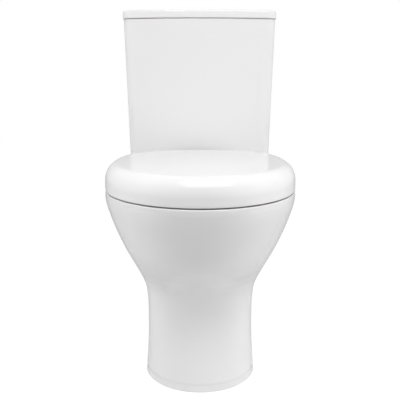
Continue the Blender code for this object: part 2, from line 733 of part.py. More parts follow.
def make_cistern_lid(body):
    """A shell with a skirt that hangs over the cistern's front and sides, and a lip that drops inside it."""
    half_width = CISTERN_TOP_HALF_WIDTH + LID_OVERHANG
    front = CISTERN_FRONT - LID_OVERHANG
    corner = CISTERN_CORNER + LID_OVERHANG
    skirt_bottom = CISTERN_TOP + LID_SEAT_GAP

    def ring(inset, z):
        outline = tank_outline(half_width - inset, front + inset, BACK - inset, CISTERN_BOW, corner, 0.010)
        return flat(outline, z)

    edge_z = TOTAL_HEIGHT - LID_DOME
    rings = [ring(0.055, TOTAL_HEIGHT), ring(0.025, edge_z + LID_DOME * 0.6)]
    for angle in (radians(90), radians(45), 0):
        inset = LID_EDGE_RADIUS * (1 - cos(angle))
        rings.append(ring(inset, edge_z - LID_EDGE_RADIUS * (1 - sin(angle))))
    rings.append(ring(0.0, skirt_bottom))
    lip_out = LID_OVERHANG + CISTERN_WALL + 0.0025
    lip_in = lip_out + LID_LIP_WIDTH
    underside = TOTAL_HEIGHT - LID_DOME - LID_THICKNESS
    rings.append(ring(lip_out, skirt_bottom))
    rings.append(ring(lip_out, skirt_bottom - LID_LIP_DROP))
    rings.append(ring(lip_in, skirt_bottom - LID_LIP_DROP))
    rings.append(ring(lip_in, underside))
    lid = loft("cistern_lid", rings, "china")
    centre = (0, VALVE_Y)
    recess_floor = TOTAL_HEIGHT - BEZEL_RECESS
    cutter = turned(
        "bezel_hole",
        (
            (BEZEL_HOLE_RADIUS, underside - 0.010),
            (BEZEL_HOLE_RADIUS, recess_floor),
            (BEZEL_RECESS_RADIUS, recess_floor),
            (BEZEL_RECESS_RADIUS + 0.004, TOTAL_HEIGHT + 0.004),
        ),
        centre,
        points=WIDE_ROUND_POINTS,
    )
    cut(lid, cutter)
    attach(lid, body)
    return underside, recess_floor


# ================================================================ coupling
def make_coupling():
    plate_top = CISTERN_BOTTOM - GAP
    plate_bottom = plate_top - COUPLING_PLATE_THICKNESS
    reach = COUPLING_BOLT_X + 0.018
    plate = box(
        "coupling_plate",
        (-reach, VALVE_Y - COUPLING_PLATE_HALF_WIDTH, plate_bottom),
        (reach, VALVE_Y + COUPLING_PLATE_HALF_WIDTH, plate_top),
        "steel",
    )
    wide = turned(
        "plate_middle",
        ((INLET_RECESS_RADIUS - 0.003, plate_bottom), (INLET_RECESS_RADIUS - 0.003, plate_top)),
        (0, VALVE_Y),
        points=WIDE_ROUND_POINTS,
    )
    join(plate, wide)
    span = (plate_bottom - 0.005, plate_top + 0.005)
    tail_hole = VALVE_TAIL_RADIUS + 0.001
    cut(plate, turned("plate_bore", [(tail_hole, z) for z in span], (0, VALVE_Y), points=WIDE_ROUND_POINTS))

    seal_top = plate_bottom - GAP
    seal_bottom = RIM_HEIGHT - INLET_RECESS + GAP
    nut_space = BACKNUT_RADIUS + 0.0012
    shelf = seal_top - BACKNUT - 0.0015
    turned(
        "coupling_seal",
        (
            (SEAL_RADIUS - 0.003, seal_top),
            (SEAL_RADIUS, seal_top - 0.004),
            (SEAL_RADIUS, seal_bottom + 0.004),
            (SEAL_RADIUS - 0.003, seal_bottom),
            (VALVE_TAIL_RADIUS + 0.001, seal_bottom),
            (VALVE_TAIL_RADIUS + 0.001, shelf),
            (nut_space, shelf),
            (nut_space, seal_top),
        ),
        (0, VALVE_Y),
        "rubber",
        bored=True,
        points=WIDE_ROUND_POINTS,
    )
    floor_top = CISTERN_BOTTOM + CISTERN_FLOOR
    deck_bottom = RIM_HEIGHT - DECK_THICKNESS
    for side, label in ((-1, "left"), (1, "right")):
        centre = (side * COUPLING_BOLT_X, VALVE_Y)
        bolt_hole = [(COUPLING_BOLT_RADIUS + 0.0005, z) for z in span]
        cut(plate, turned("plate_bolt_hole", bolt_hole, centre, points=12))
        washer_low = floor_top + GAP
        washer_high = washer_low + 0.004
        turned(
            f"bolt_rubber_washer_{label}",
            (
                (0.009, washer_low),
                (0.010, washer_high),
                (COUPLING_BOLT_RADIUS + FIT, washer_high),
                (COUPLING_BOLT_RADIUS + FIT, washer_low),
            ),
            centre,
            "rubber",
            bored=True,
            points=16,
        )
        nut_low = deck_bottom - GAP * 2 - 0.0015 - 0.008
        head_low = washer_high + GAP
        hexed = hexagon(f"coupling_bolt_{label}", 0.0058, 0, centre, head_low, head_low + 0.004, "brass")
        shank = [(COUPLING_BOLT_RADIUS, nut_low - 0.010), (COUPLING_BOLT_RADIUS, head_low + 0.002)]
        join(hexed, turned("bolt_shank", shank, centre, points=12))
        steel_high = deck_bottom - GAP
        steel_low = steel_high - 0.0015
        turned(
            f"bolt_steel_washer_{label}",
            (
                (0.009, steel_low),
                (0.009, steel_high),
                (COUPLING_BOLT_RADIUS + FIT, steel_high),
                (COUPLING_BOLT_RADIUS + FIT, steel_low),
            ),
            centre,
            "steel",
            bored=True,
            points=16,
        )
        make_wing_nut(f"wing_nut_{label}", centre, steel_low - GAP)


def make_wing_nut(name, centre, top):
    bore = COUPLING_BOLT_RADIUS + FIT
    nut = turned(
        name,
        ((0.006, top - 0.008), (0.0065, top), (bore, top), (bore, top - 0.008)),
        centre,
        "brass",
        bored=True,
        points=16,
    )
    for side in (-1, 1):
        inner, outer = centre[1] + side * 0.0052, centre[1] + side * 0.014
        low_y, high_y = sorted((inner, outer))
        wing = box(
            "wing",
            (centre[0] - 0.0011, low_y, top - 0.0095),
            (centre[0] + 0.0011, high_y, top - 0.001),
        )
        join(nut, wing)


# ================================================================ flush valve
def valve_flange_low():
    return CISTERN_BOTTOM + CISTERN_FLOOR + GAP + WASHER + GAP


def lever_pivot():
    cage_top = valve_flange_low() + VALVE_FLANGE - CAGE_REBATE + GAP + CAGE_HEIGHT
    return (0, VALVE_Y + LEVER_PUSH_ARM, cage_top + LEVER_OVER_HEAD)


def make_flush_valve(bodies):
    centre = (0, VALVE_Y)
    floor_top = CISTERN_BOTTOM + CISTERN_FLOOR
    washer_top = floor_top + GAP + WASHER
    flange_low = valve_flange_low()
    flange_top = flange_low + VALVE_FLANGE
    tail_end = CISTERN_BOTTOM - VALVE_TAIL_LENGTH
    turned(
        "flush_valve_washer",
        (
            (VALVE_FLANGE_RADIUS, floor_top + GAP),
            (VALVE_FLANGE_RADIUS, washer_top),
            (VALVE_TAIL_RADIUS + FIT, washer_top),
            (VALVE_TAIL_RADIUS + FIT, floor_top + GAP),
        ),
        centre,
        "rubber",
        bored=True,
        points=WIDE_ROUND_POINTS,
    )
    turned(
        "flush_valve_base",
        (
            (VALVE_TAIL_RADIUS, tail_end),
            (VALVE_TAIL_RADIUS, flange_low),
            (VALVE_FLANGE_RADIUS, flange_low),
            (VALVE_FLANGE_RADIUS, flange_top - CAGE_REBATE),
            (VALVE_BORE + 0.003, flange_top - CAGE_REBATE),
            (VALVE_BORE + 0.002, flange_top),
            (VALVE_BORE, flange_top),
            (VALVE_BORE, tail_end),
        ),
        centre,
        "valve_plastic",
        bored=True,
        points=WIDE_ROUND_POINTS,
    )
    nut_top = CISTERN_BOTTOM - GAP - COUPLING_PLATE_THICKNESS - GAP
    turned(
        "flush_valve_backnut",
        (
            (BACKNUT_RADIUS, nut_top - BACKNUT),
            (BACKNUT_RADIUS, nut_top),
            (VALVE_TAIL_RADIUS + FIT, nut_top),
            (VALVE_TAIL_RADIUS + FIT, nut_top - BACKNUT),
        ),
        centre,
        "valve_plastic",
        bored=True,
        points=WIDE_ROUND_POINTS,
    )

    cage_low = flange_top - CAGE_REBATE + GAP
    cage_top = cage_low + CAGE_HEIGHT
    inner = CAGE_RADIUS - CAGE_WALL
    cage = turned(
        "flush_valve_cage",
        ((CAGE_RADIUS, cage_low), (CAGE_RADIUS, cage_top), (inner, cage_top), (inner, cage_low)),
        centre,
        "valve_plastic",
        bored=True,
        points=WIDE_ROUND_POINTS,
    )
    reach = CAGE_RADIUS + 0.010
    for low, high in CAGE_WINDOWS:
        for half_x, half_y in ((reach, CAGE_WINDOW_HALF_WIDTH), (CAGE_WINDOW_HALF_WIDTH, reach)):
            window = box(
                "cage_window",
                (-half_x, VALVE_Y - half_y, cage_low + low * CAGE_HEIGHT),
                (half_x, VALVE_Y + half_y, cage_low + high * CAGE_HEIGHT),
            )
            cut(cage, window)

    head_low = cage_top + GAP
    head_top = head_low + HEAD_THICKNESS
    column_hole = COLUMN_RADIUS + 0.0008
    head = turned(
        "valve_head",
        ((CAGE_RADIUS, head_low), (CAGE_RADIUS, head_top), (column_hole, head_top), (column_hole, head_low)),
        centre,
        "valve_plastic",
        bored=True,
        points=WIDE_ROUND_POINTS,
    )
    _, pivot_y, pivot_z = lever_pivot()
    ear_inner = LEVER_X + LEVER_WIDTH / 2 + 0.001
    ear_outer = ear_inner + EAR_THICKNESS
    for side in (-1, 1):
        low_x, high_x = sorted((side * ear_inner, side * ear_outer))
        ear = box(
            "ear", (low_x, pivot_y - 0.006, head_low + 0.001), (high_x, pivot_y + 0.006, pivot_z + 0.005)
        )
        join(head, ear)
    pin_hole = LEVER_PIN_RADIUS + 0.0003
    hole_end = ear_outer + 0.01
    cut(head, cross_rod("pin_hole", pin_hole, -hole_end, hole_end, pivot_y, pivot_z, points=12))
    pin_end = ear_outer + 0.001
    cross_rod("lever_pivot_pin", LEVER_PIN_RADIUS, -pin_end, pin_end, pivot_y, pivot_z, "steel", 12)
    for side, label in ((1, "full"), (-1, "half")):
        x = side * LEVER_X
        lever = box(
            f"{label}_flush_lever",
            (x - LEVER_WIDTH / 2, pivot_y - LEVER_PUSH_ARM - 0.004, pivot_z - LEVER_THICKNESS / 2),
            (x + LEVER_WIDTH / 2, pivot_y + LEVER_LIFT_ARM + 0.002, pivot_z + LEVER_THICKNESS / 2),
            "blue_plastic",
        )
        bore = cross_rod("lever_bore", pin_hole, x - 0.01, x + 0.01, pivot_y, pivot_z, points=12)
        cut(lever, bore)
        attach(lever, bodies[f"{label}_lever"])

    hook_y = pivot_y + LEVER_LIFT_ARM
    hook_low = pivot_z + LEVER_THICKNESS / 2 + GAP
    upright_y = hook_y + 0.006
    make_column(bodies["column"], centre, flange_top, cage_top, hook_y, hook_low, upright_y)
    make_half_float(bodies["half_float"], cage_low, hook_y, hook_low, upright_y)


def make_hook(x, hook_y, hook_low, upright_y, upright_low):
    """An upright behind a lever with a foot that reaches over the lever's end."""
    upright = box(
        "hook_upright",
        (x - 0.003, upright_y, upright_low),
        (x + 0.003, upright_y + 0.004, hook_low + 0.004),
    )
    toe = box(
        "hook_toe",
        (x - 0.003, hook_y - 0.002, hook_low),
        (x + 0.003, upright_y + 0.003, hook_low + 0.0038),
    )
    return upright, toe


def make_column(body, centre, seat_z, cage_top, hook_y, hook_low, upright_y):
    """Overflow tube with the disc that carries the seal, and the hook that the full flush lever lifts."""
    seal_top = seat_z + GAP + VALVE_SEAL
    disc_low = seal_top + GAP
    top = cage_top + COLUMN_ABOVE_CAGE
    bore = COLUMN_RADIUS - COLUMN_WALL
    column = turned(
        "valve_column",
        (
            (COLUMN_DISC_RADIUS, disc_low),
            (COLUMN_DISC_RADIUS, disc_low + 0.003),
            (COLUMN_RADIUS, disc_low + 0.006),
            (COLUMN_RADIUS, top),
            (bore, top),
            (bore, disc_low),
        ),
        centre,
        "blue_plastic",
        bored=True,
    )
    arm = box(
        "column_arm",
        (LEVER_X - 0.006, VALVE_Y + 0.004, top - 0.006),
        (LEVER_X + 0.003, upright_y + 0.003, top - 0.001),
    )
    upright, toe = make_hook(LEVER_X, hook_y, hook_low, upright_y, top - 0.005)
    join(column, arm, upright, toe)
    cut(column, turned("overflow_bore", ((bore, disc_low - 0.005), (bore, top + 0.005)), centre))
    attach(column, body)
    seal = turned(
        "valve_seal",
        (
            (COLUMN_DISC_RADIUS - 0.0005, seat_z + GAP),
            (COLUMN_DISC_RADIUS - 0.0005, seal_top),
            (COLUMN_RADIUS, seal_top),
            (COLUMN_RADIUS, seat_z + GAP),
        ),
        centre,
        "rubber",
        bored=True,
    )
    attach(seal, body)


def make_half_float(body, cage_low, hook_y, hook_low, upright_y):
    """A small float that slides up the back of the cage when the half flush lever lifts its hook."""
    low = cage_low + CAGE_HEIGHT * HALF_FLOAT_HEIGHT
    block_front = VALVE_Y + CAGE_RADIUS + 0.0006
    block = box(
        "half_flush_float",
        (-LEVER_X - 0.011, block_front, low),
        (-LEVER_X + 0.011, block_front + 0.016, low + 0.030),
        "valve_plastic",
    )
    upright, toe = make_hook(-LEVER_X, hook_y, hook_low, upright_y, low + 0.010)
    join(block, upright, toe)
    attach(block, body)


# ================================================================ flush buttons
def make_buttons(bodies, underside, recess_floor):
    centre = (0, VALVE_Y)
    lever_top = lever_pivot()[2] + LEVER_THICKNESS / 2
    flange_low = recess_floor + GAP
    flange_top = flange_low + BEZEL_FLANGE
    tube_end = flange_low - BEZEL_TUBE_LENGTH
    bore = BEZEL_TUBE_RADIUS - BEZEL_TUBE_WALL
    bezel = turned(
        "button_bezel",
        (
            (BEZEL_TUBE_RADIUS, tube_end),
            (BEZEL_TUBE_RADIUS, flange_low),
            (BEZEL_RADIUS, flange_low),
            (BEZEL_RADIUS - 0.001, flange_top),
            (bore, flange_top),
            (bore, tube_end),
        ),
        centre,
        "chrome",
        bored=True,
        points=WIDE_ROUND_POINTS,
    )
    attach(bezel, bodies["cistern_lid"])
    nut_top = underside - GAP
    locknut = turned(
        "bezel_locknut",
        (
            (BEZEL_RADIUS + 0.001, nut_top - 0.006),
            (BEZEL_RADIUS + 0.001, nut_top),
            (BEZEL_TUBE_RADIUS + FIT, nut_top),
            (BEZEL_TUBE_RADIUS + FIT, nut_top - 0.006),
        ),
        centre,
        "valve_plastic",
        bored=True,
        points=WIDE_ROUND_POINTS,
    )
    attach(locknut, bodies["cistern_lid"])
    top = flange_top - BUTTON_SINK
    low = top - BUTTON_HEIGHT
    radius = bore - FIT
    for side, label in ((1, "full"), (-1, "half")):
        body = bodies[f"{label}_button"]
        button = turned(
            f"{label}_flush_button",
            ((radius, low), (radius, top - 0.0008), (radius - 0.0008, top)),
            centre,
            "chrome",
            points=WIDE_ROUND_POINTS,
        )
        split = BUTTON_SPLIT_X + side * BUTTON_SPLIT_GAP / 2
        far = -side * 0.040
        low_x, high_x = sorted((split, far))
        away = box("button_split", (low_x, VALVE_Y - 0.04, low - 0.01), (high_x, VALVE_Y + 0.04, top + 0.01))
        cut(button, away)
        attach(button, body)
        rod_top = low - GAP
        rod = turned(
            f"{label}_flush_rod",
            (
                (ROD_RADIUS, lever_top + GAP),
                (ROD_RADIUS, rod_top - 0.002),
                (ROD_RADIUS + 0.002, rod_top - 0.002),
                (ROD_RADIUS + 0.002, rod_top),
            ),
            (side * LEVER_X, VALVE_Y),
            "valve_plastic",
            points=12,
        )
        attach(rod, body)


# ================================================================ fill valve
def fill_lever_pivot():
    top = CISTERN_BOTTOM + CISTERN_FLOOR + FILL_HEIGHT
    return (FILL_X, FILL_Y - FILL_HEAD_RADIUS + 0.004, top + FILL_LEVER_OVER_HEAD)


def make_fill_valve(bodies):
    centre = (FILL_X, FILL_Y)
    floor_top = CISTERN_BOTTOM + CISTERN_FLOOR
    washer_top = floor_top + GAP + WASHER
    flange_low = washer_top + GAP
    top = floor_top + FILL_HEIGHT
    head_low = top - FILL_HEAD
    shank_end = CISTERN_BOTTOM - SHANK_LENGTH
    turned(
        "fill_valve_washer",
        (
            (FILL_FLANGE_RADIUS, floor_top + GAP),
            (FILL_FLANGE_RADIUS, washer_top),
            (SHANK_RADIUS + FIT, washer_top),
            (SHANK_RADIUS + FIT, floor_top + GAP),
        ),
        centre,
        "rubber",
        bored=True,
    )
    body = turned(
        "fill_valve_body",
        (
            (SHANK_RADIUS, shank_end),
            (SHANK_RADIUS, flange_low),
            (FILL_FLANGE_RADIUS, flange_low),
            (FILL_FLANGE_RADIUS, flange_low + 0.004),
            (FILL_TUBE_RADIUS, flange_low + 0.008),
            (FILL_TUBE_RADIUS, head_low),
            (FILL_HEAD_RADIUS, head_low + 0.004),
            (FILL_HEAD_RADIUS, top - 0.003),
            (FILL_HEAD_RADIUS - 0.003, top),
        ),
        centre,
        "valve_plastic",
    )
    bore = ((SHANK_BORE, shank_end - 0.010), (SHANK_BORE, head_low))
    cut(body, turned("supply_bore", bore, centre, points=12))
    nut_top = CISTERN_BOTTOM - GAP
    nut_low = nut_top - 0.009
    hexagon("fill_valve_backnut", FILL_NUT_RADIUS, SHANK_RADIUS + FIT, centre, nut_low, nut_top, "brass")

    _, pin_y, pin_z = fill_lever_pivot()
    for side in (-1, 1):
        low_x, high_x = sorted((FILL_X + side * 0.0055, FILL_X + side * 0.0095))
        ear_high = (high_x, pin_y + 0.005, pin_z + 0.004)
        join(body, box("fill_ear", (low_x, pin_y - 0.005, top - 0.006), ear_high))
    hole = cross_rod("fill_pin_hole", 0.0023, FILL_X - 0.02, FILL_X + 0.02, pin_y, pin_z, points=12)
    cut(body, hole)
    cross_rod("fill_lever_pin", LEVER_PIN_RADIUS, FILL_X - 0.011, FILL_X + 0.011, pin_y, pin_z, "steel", 12)

    lever = box(
        "fill_valve_lever",
        (FILL_X - 0.004, pin_y - FLOAT_ARM * 0.12, pin_z - 0.003),
        (FILL_X + 0.004, pin_y + FLOAT_ARM + 0.006, pin_z + 0.003),
        "blue_plastic",
    )
    cut(lever, cross_rod("fill_lever_bore", 0.0023, FILL_X - 0.01, FILL_X + 0.01, pin_y, pin_z, points=12))
    attach(lever, bodies["fill_lever"])

    low = floor_top + FLOAT_REST
    high = low + FLOAT_HEIGHT
    inner = FILL_TUBE_RADIUS + 0.0008
    cup = turned(
        "fill_valve_float",
        (
            (FLOAT_RADIUS, low),
            (FLOAT_RADIUS, high),
            (inner, high),
            (inner, low),
            (inner + FLOAT_WALL, low),
            (inner + FLOAT_WALL, high - FLOAT_WALL),
            (FLOAT_RADIUS - FLOAT_WALL, high - FLOAT_WALL),
            (FLOAT_RADIUS - FLOAT_WALL, low),
        ),
        centre,
        "blue_plastic",
        bored=True,
    )
    link_y = pin_y + FLOAT_ARM
    link = turned(
        "float_link",
        ((0.002, high - 0.002), (0.002, pin_z - 0.003 - GAP)),
        (FILL_X, link_y),
        points=12,
    )
    join(cup, link)
    attach(cup, bodies["fill_float"])


# ================================================================ seat
def lid_top_z(y):
    share = (y - FRONT) / (SEAT_BACK - FRONT)
    return LID_TOP_FRONT + (LID_TOP_BACK - LID_TOP_FRONT) * share


def lid_edge_z(y):
    """The lid's lower edge, which rises towards the hinge."""
    share = min(max((y - LID_REAR_LIFT_FROM) / (HINGE_Y - LID_REAR_LIFT_FROM), 0.0), 1.0)
    return LID_EDGE_Z + LID_REAR_LIFT * share * share * (3 - 2 * share)


def seat_outline(inset, back=SEAT_BACK):
    half_width = RIM_WIDTH / 2 - inset
    return egg_outline(half_width, FRONT + inset, RIM_WIDEST, back - inset, SEAT_SQUARENESS, SEAT_POINTS)


def lid_rings(inset, radius, drop):
    """Rings of one skin of the lid, from its edge up over the rounding to the flat of its top."""
    edge = [Vector((x, y, lid_edge_z(y))) for x, y in seat_outline(inset)]
    rings = [edge]
    for angle in (0, radians(30), radians(60), radians(90)):
        drawn_in = inset + radius * (1 - cos(angle))
        sunk = drop + radius * (1 - sin(angle))
        rings.append([Vector((x, y, lid_top_z(y) - sunk)) for x, y in seat_outline(drawn_in)])
    return rings


def round_the_pin(start, end):
    """Half a circle about the hinge's axis, as (y, z) points."""
    arc = []
    for i in range(9):
        angle = start + (end - start) * i / 8
        arc.append((HINGE_Y + HINGE_BOSS_RADIUS * cos(angle), HINGE_Z + HINGE_BOSS_RADIUS * sin(angle)))
    return arc


def make_lug(name, from_x, to_x, outline):
    """A hinge lug: a plate across the axis with a (y, z) outline."""
    return loft(name, [[Vector((x, y, z)) for y, z in outline] for x in sorted((from_x, to_x))])


def pin_bore(name, from_x, to_x):
    """The hinge pin's hole through one lug or boss."""
    low_x, high_x = sorted((from_x, to_x))
    beyond = 0.004
    bore = HINGE_PIN_RADIUS + FIT
    return cross_rod(name, bore, low_x - beyond, high_x + beyond, HINGE_Y, HINGE_Z, points=16)


def make_seat_lid(body):
    outer = lid_rings(0.0, LID_ROUND, 0.0)
    inner = lid_rings(SEAT_WALL, LID_ROUND - SEAT_WALL, SEAT_WALL)
    lid = loft("seat_lid", list(reversed(outer)) + inner, "seat_plastic")
    plate_z = lid_top_z(HINGE_Y) - SEAT_WALL
    notch = box(
        "hinge_notch",
        (-HINGE_NOTCH, HINGE_Y - HINGE_BOSS_RADIUS - 0.006, RIM_HEIGHT - 0.010),
        (HINGE_NOTCH, SEAT_BACK + 0.010, plate_z - 0.0004),
    )
    cut(lid, notch)
    plate_inside = plate_z + 0.002
    outline = [(HINGE_Y + HINGE_BOSS_RADIUS, plate_inside)]
    outline += round_the_pin(0, -pi)
    outline += [(HINGE_Y - HINGE_BOSS_RADIUS, plate_inside)]
    for side in (-1, 1):
        near, far = side * (HINGE_X + HINGE_TO_LUG), side * (HINGE_X + HINGE_TO_LUG + HINGE_LUG)
        join(lid, make_lug("lid_lug", near, far, outline))
        cut(lid, pin_bore("lid_bore", near, far))
    attach(lid, body)
    for side, label in ((-1, "left"), (1, "right")):
        place = (side * LID_BUFFER_X, LID_BUFFER_Y)
        under = lid_top_z(place[1]) - SEAT_WALL - GAP * 2
        bottom = RING_TOP + GAP
        buffer = turned(
            f"lid_buffer_{label}",
            ((BUFFER_RADIUS * 0.7, bottom), (BUFFER_RADIUS, bottom + 0.004), (BUFFER_RADIUS, under)),
            place,
            "soft_white",
            points=16,
        )
        attach(buffer, body)


def make_seat_ring(body):
    outline = seat_outline(SEAT_WALL + RING_CLEARANCE, RING_BACK + SEAT_WALL + RING_CLEARANCE)
    middle = (OPENING_FRONT + OPENING_BACK) / 2
    opening = egg_outline(OPENING_HALF_WIDTH, OPENING_FRONT, middle, OPENING_BACK, 2.0, SEAT_POINTS)
    height = RING_TOP - RING_BOTTOM
    # (share of the way from the outside to the opening, share of the height)
    section = (
        (0.00, 0.00),
        (0.00, 0.55),
        (0.05, 0.86),
        (0.16, 1.00),
        (0.60, 1.00),
        (0.84, 0.90),
        (0.97, 0.62),
        (1.00, 0.30),
        (0.97, 0.00),
    )
    rings = []
    for across, up in section:
        ring = []
        for (outer_x, outer_y), (inner_x, inner_y) in zip(outline, opening):
            x = outer_x + (inner_x - outer_x) * across
            y = outer_y + (inner_y - outer_y) * across
            ring.append(Vector((x, y, RING_BOTTOM + height * up)))
        rings.append(ring)
    seat = loft("seat_ring", rings, "seat_plastic", endless=True)
    inside_ring = RING_BACK - 0.020
    outline = round_the_pin(-pi / 2, pi / 2)
    outline += [(inside_ring, RING_TOP - 0.004), (inside_ring, RING_BOTTOM + 0.003)]
    for side in (-1, 1):
        near, far = side * (HINGE_X - HINGE_TO_LUG), side * (HINGE_X - HINGE_TO_LUG - HINGE_LUG)
        join(seat, make_lug("ring_lug", near, far, outline))
        cut(seat, pin_bore("ring_bore", near, far))
    attach(seat, body)
    rim_middle = RIM_WIDTH / 2 - BOWL_RIM_WIDTH / 2 - 0.002
    for label, angle in (
        ("front_right", radians(38)),
        ("front_left", radians(-38)),
        ("back_right", radians(105)),
        ("back_left", radians(-105)),
    ):
        x = rim_middle * sin(angle)
        y = RIM_WIDEST - (RIM_WIDEST - FRONT - BOWL_RIM_WIDTH / 2 - 0.002) * cos(angle)
        buffer = turned(
            f"ring_buffer_{label}",
            (
                (BUFFER_RADIUS, RIM_HEIGHT + GAP),
                (BUFFER_RADIUS + 0.001, RIM_HEIGHT + 0.003),
                (BUFFER_RADIUS, RING_BOTTOM - GAP),
            ),
            (x, y),
            "soft_white",
            points=16,
        )
        attach(buffer, body)


def make_hinges():
    base_low = RIM_HEIGHT + GAP + GASKET + GAP
    deck_bottom = RIM_HEIGHT - CHINA
    for side, label in ((-1, "left"), (1, "right")):
        centre = (side * HINGE_X, HINGE_Y)
        turned(
            f"hinge_gasket_{label}",
            (
                (HINGE_BASE_RADIUS, RIM_HEIGHT + GAP),
                (HINGE_BASE_RADIUS, RIM_HEIGHT + GAP + GASKET),
                (HINGE_STUD_RADIUS + FIT, RIM_HEIGHT + GAP + GASKET),
                (HINGE_STUD_RADIUS + FIT, RIM_HEIGHT + GAP),
            ),
            centre,
            "rubber",
            bored=True,
        )
        # the stem ends inside the boss, and the boss then spans the axis
        post = turned(
            f"hinge_post_{label}",
            (
                (HINGE_BASE_RADIUS - 0.001, base_low),
                (HINGE_BASE_RADIUS - 0.001, base_low + HINGE_BASE * 0.5),
                (HINGE_BOSS_RADIUS, base_low + HINGE_BASE),
                (HINGE_BOSS_RADIUS - 0.001, HINGE_Z),
            ),
            centre,
            "chrome",
        )
        low_x = centre[0] - HINGE_BOSS_WIDTH / 2
        high_x = centre[0] + HINGE_BOSS_WIDTH / 2
        join(post, cross_rod("hinge_boss", HINGE_BOSS_RADIUS, low_x, high_x, HINGE_Y, HINGE_Z))
        cut(post, pin_bore("boss_bore", low_x, high_x))
        stud_top = base_low + HINGE_STUD_DEPTH
        stud_hole = ((HINGE_STUD_RADIUS + 0.0003, base_low - 0.005), (HINGE_STUD_RADIUS + 0.0003, stud_top))
        cut(post, turned("stud_hole", stud_hole, centre, points=16))
        reach = HINGE_TO_LUG + HINGE_LUG + 0.001
        cross_rod(
            f"hinge_pin_{label}",
            HINGE_PIN_RADIUS,
            centre[0] - reach,
            centre[0] + reach,
            HINGE_Y,
            HINGE_Z,
            "steel",
            16,
        )
        nut_top = deck_bottom - GAP
        nut_low = nut_top - HINGE_NUT
        turned(
            f"hinge_stud_{label}",
            ((HINGE_STUD_RADIUS, nut_low - 0.010), (HINGE_STUD_RADIUS, stud_top - GAP)),
            centre,
            "steel",
            points=16,
        )
        hexagon(
            f"hinge_nut_{label}",
            HINGE_NUT_RADIUS,
            HINGE_STUD_RADIUS + FIT,
            centre,
            nut_low,
            nut_top,
            "valve_plastic",
        )


# ================================================================ the whole toilet
def main():
    clear_scene()
    make_pan()
    make_cistern()
    make_coupling()
    make_hinges()

    bodies = {
        "seat_ring": pivot("seat_ring_axis", (0, HINGE_Y, HINGE_Z)),
        "cistern_lid": pivot("cistern_lid_axis", (0, VALVE_Y, CISTERN_TOP)),
        "column": pivot("valve_column_axis", (0, VALVE_Y, CISTERN_BOTTOM)),
        "half_float": pivot("half_float_axis", (-LEVER_X, VALVE_Y + CAGE_RADIUS, CISTERN_BOTTOM)),
        "full_lever": pivot("full_lever_axis", lever_pivot()),
        "half_lever": pivot("half_lever_axis", lever_pivot()),
        "fill_float": pivot("fill_float_axis", (FILL_X, FILL_Y, CISTERN_BOTTOM)),
        "fill_lever": pivot("fill_lever_axis", fill_lever_pivot()),
    }
    bodies["seat_lid"] = pivot("seat_lid_axis", (0, HINGE_Y, HINGE_Z), bodies["seat_ring"])
    for label, side in (("full", 1), ("half", -1)):
        place = (side * LEVER_X, VALVE_Y, CISTERN_TOP)
        bodies[f"{label}_button"] = pivot(f"{label}_button_axis", place, bodies["cistern_lid"])

    make_seat_ring(bodies["seat_ring"])
    make_seat_lid(bodies["seat_lid"])
    underside, recess_floor = make_cistern_lid(bodies["cistern_lid"])
    make_flush_valve(bodies)
    make_buttons(bodies, underside, recess_floor)
    make_fill_valve(bodies)


main()
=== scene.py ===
"""Looks of the close coupled toilet: smooth glazed china, a polished seat and finished fittings.

Metres, +Z up; the pan's front faces -Y. The overall places come from the frame, and the sizes, shares and
radii below describe the shapes between them.
"""

import json
from math import cos, pi, radians, sin

import bmesh
import bpy
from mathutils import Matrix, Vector


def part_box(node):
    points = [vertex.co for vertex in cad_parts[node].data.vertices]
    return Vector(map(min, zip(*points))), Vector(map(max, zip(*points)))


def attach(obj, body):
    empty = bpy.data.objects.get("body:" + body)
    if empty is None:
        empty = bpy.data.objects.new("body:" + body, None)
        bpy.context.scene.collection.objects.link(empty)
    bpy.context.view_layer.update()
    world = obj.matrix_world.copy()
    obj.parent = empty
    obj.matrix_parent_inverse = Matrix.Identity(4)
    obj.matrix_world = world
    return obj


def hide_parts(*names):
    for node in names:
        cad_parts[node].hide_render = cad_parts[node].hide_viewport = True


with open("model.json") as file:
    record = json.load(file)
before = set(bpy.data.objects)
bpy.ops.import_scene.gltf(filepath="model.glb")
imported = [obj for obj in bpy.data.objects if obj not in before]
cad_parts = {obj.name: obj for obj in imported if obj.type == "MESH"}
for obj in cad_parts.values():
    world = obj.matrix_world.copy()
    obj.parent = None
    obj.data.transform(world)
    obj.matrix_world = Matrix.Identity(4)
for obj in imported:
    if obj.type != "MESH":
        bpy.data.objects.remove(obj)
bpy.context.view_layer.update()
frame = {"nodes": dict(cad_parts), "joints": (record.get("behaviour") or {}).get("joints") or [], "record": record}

# ---------------------------------------------------------------- places, from the frame
PAN_LOW, PAN_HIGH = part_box("pan")
TANK_LOW, TANK_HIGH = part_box("cistern")
COVER_LOW, COVER_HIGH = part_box("cistern_lid")
LID_LOW, LID_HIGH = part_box("seat_lid")
BEZEL_LOW, BEZEL_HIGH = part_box("button_bezel")
JOINTS = {joint["name"]: joint for joint in frame["joints"]}
HINGE = Vector(JOINTS["seat_ring_hinge"]["pos_m"])
HINGE_X = (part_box("hinge_post_right")[0].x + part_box("hinge_post_right")[1].x) / 2
FRONT = PAN_LOW.y
BACK = TANK_HIGH.y
RIM_HEIGHT = PAN_HIGH.z
RIM_HALF_WIDTH = PAN_HIGH.x
VALVE_Y = (BEZEL_LOW.y + BEZEL_HIGH.y) / 2
GAP = 0.0003  # between pieces that rest on each other

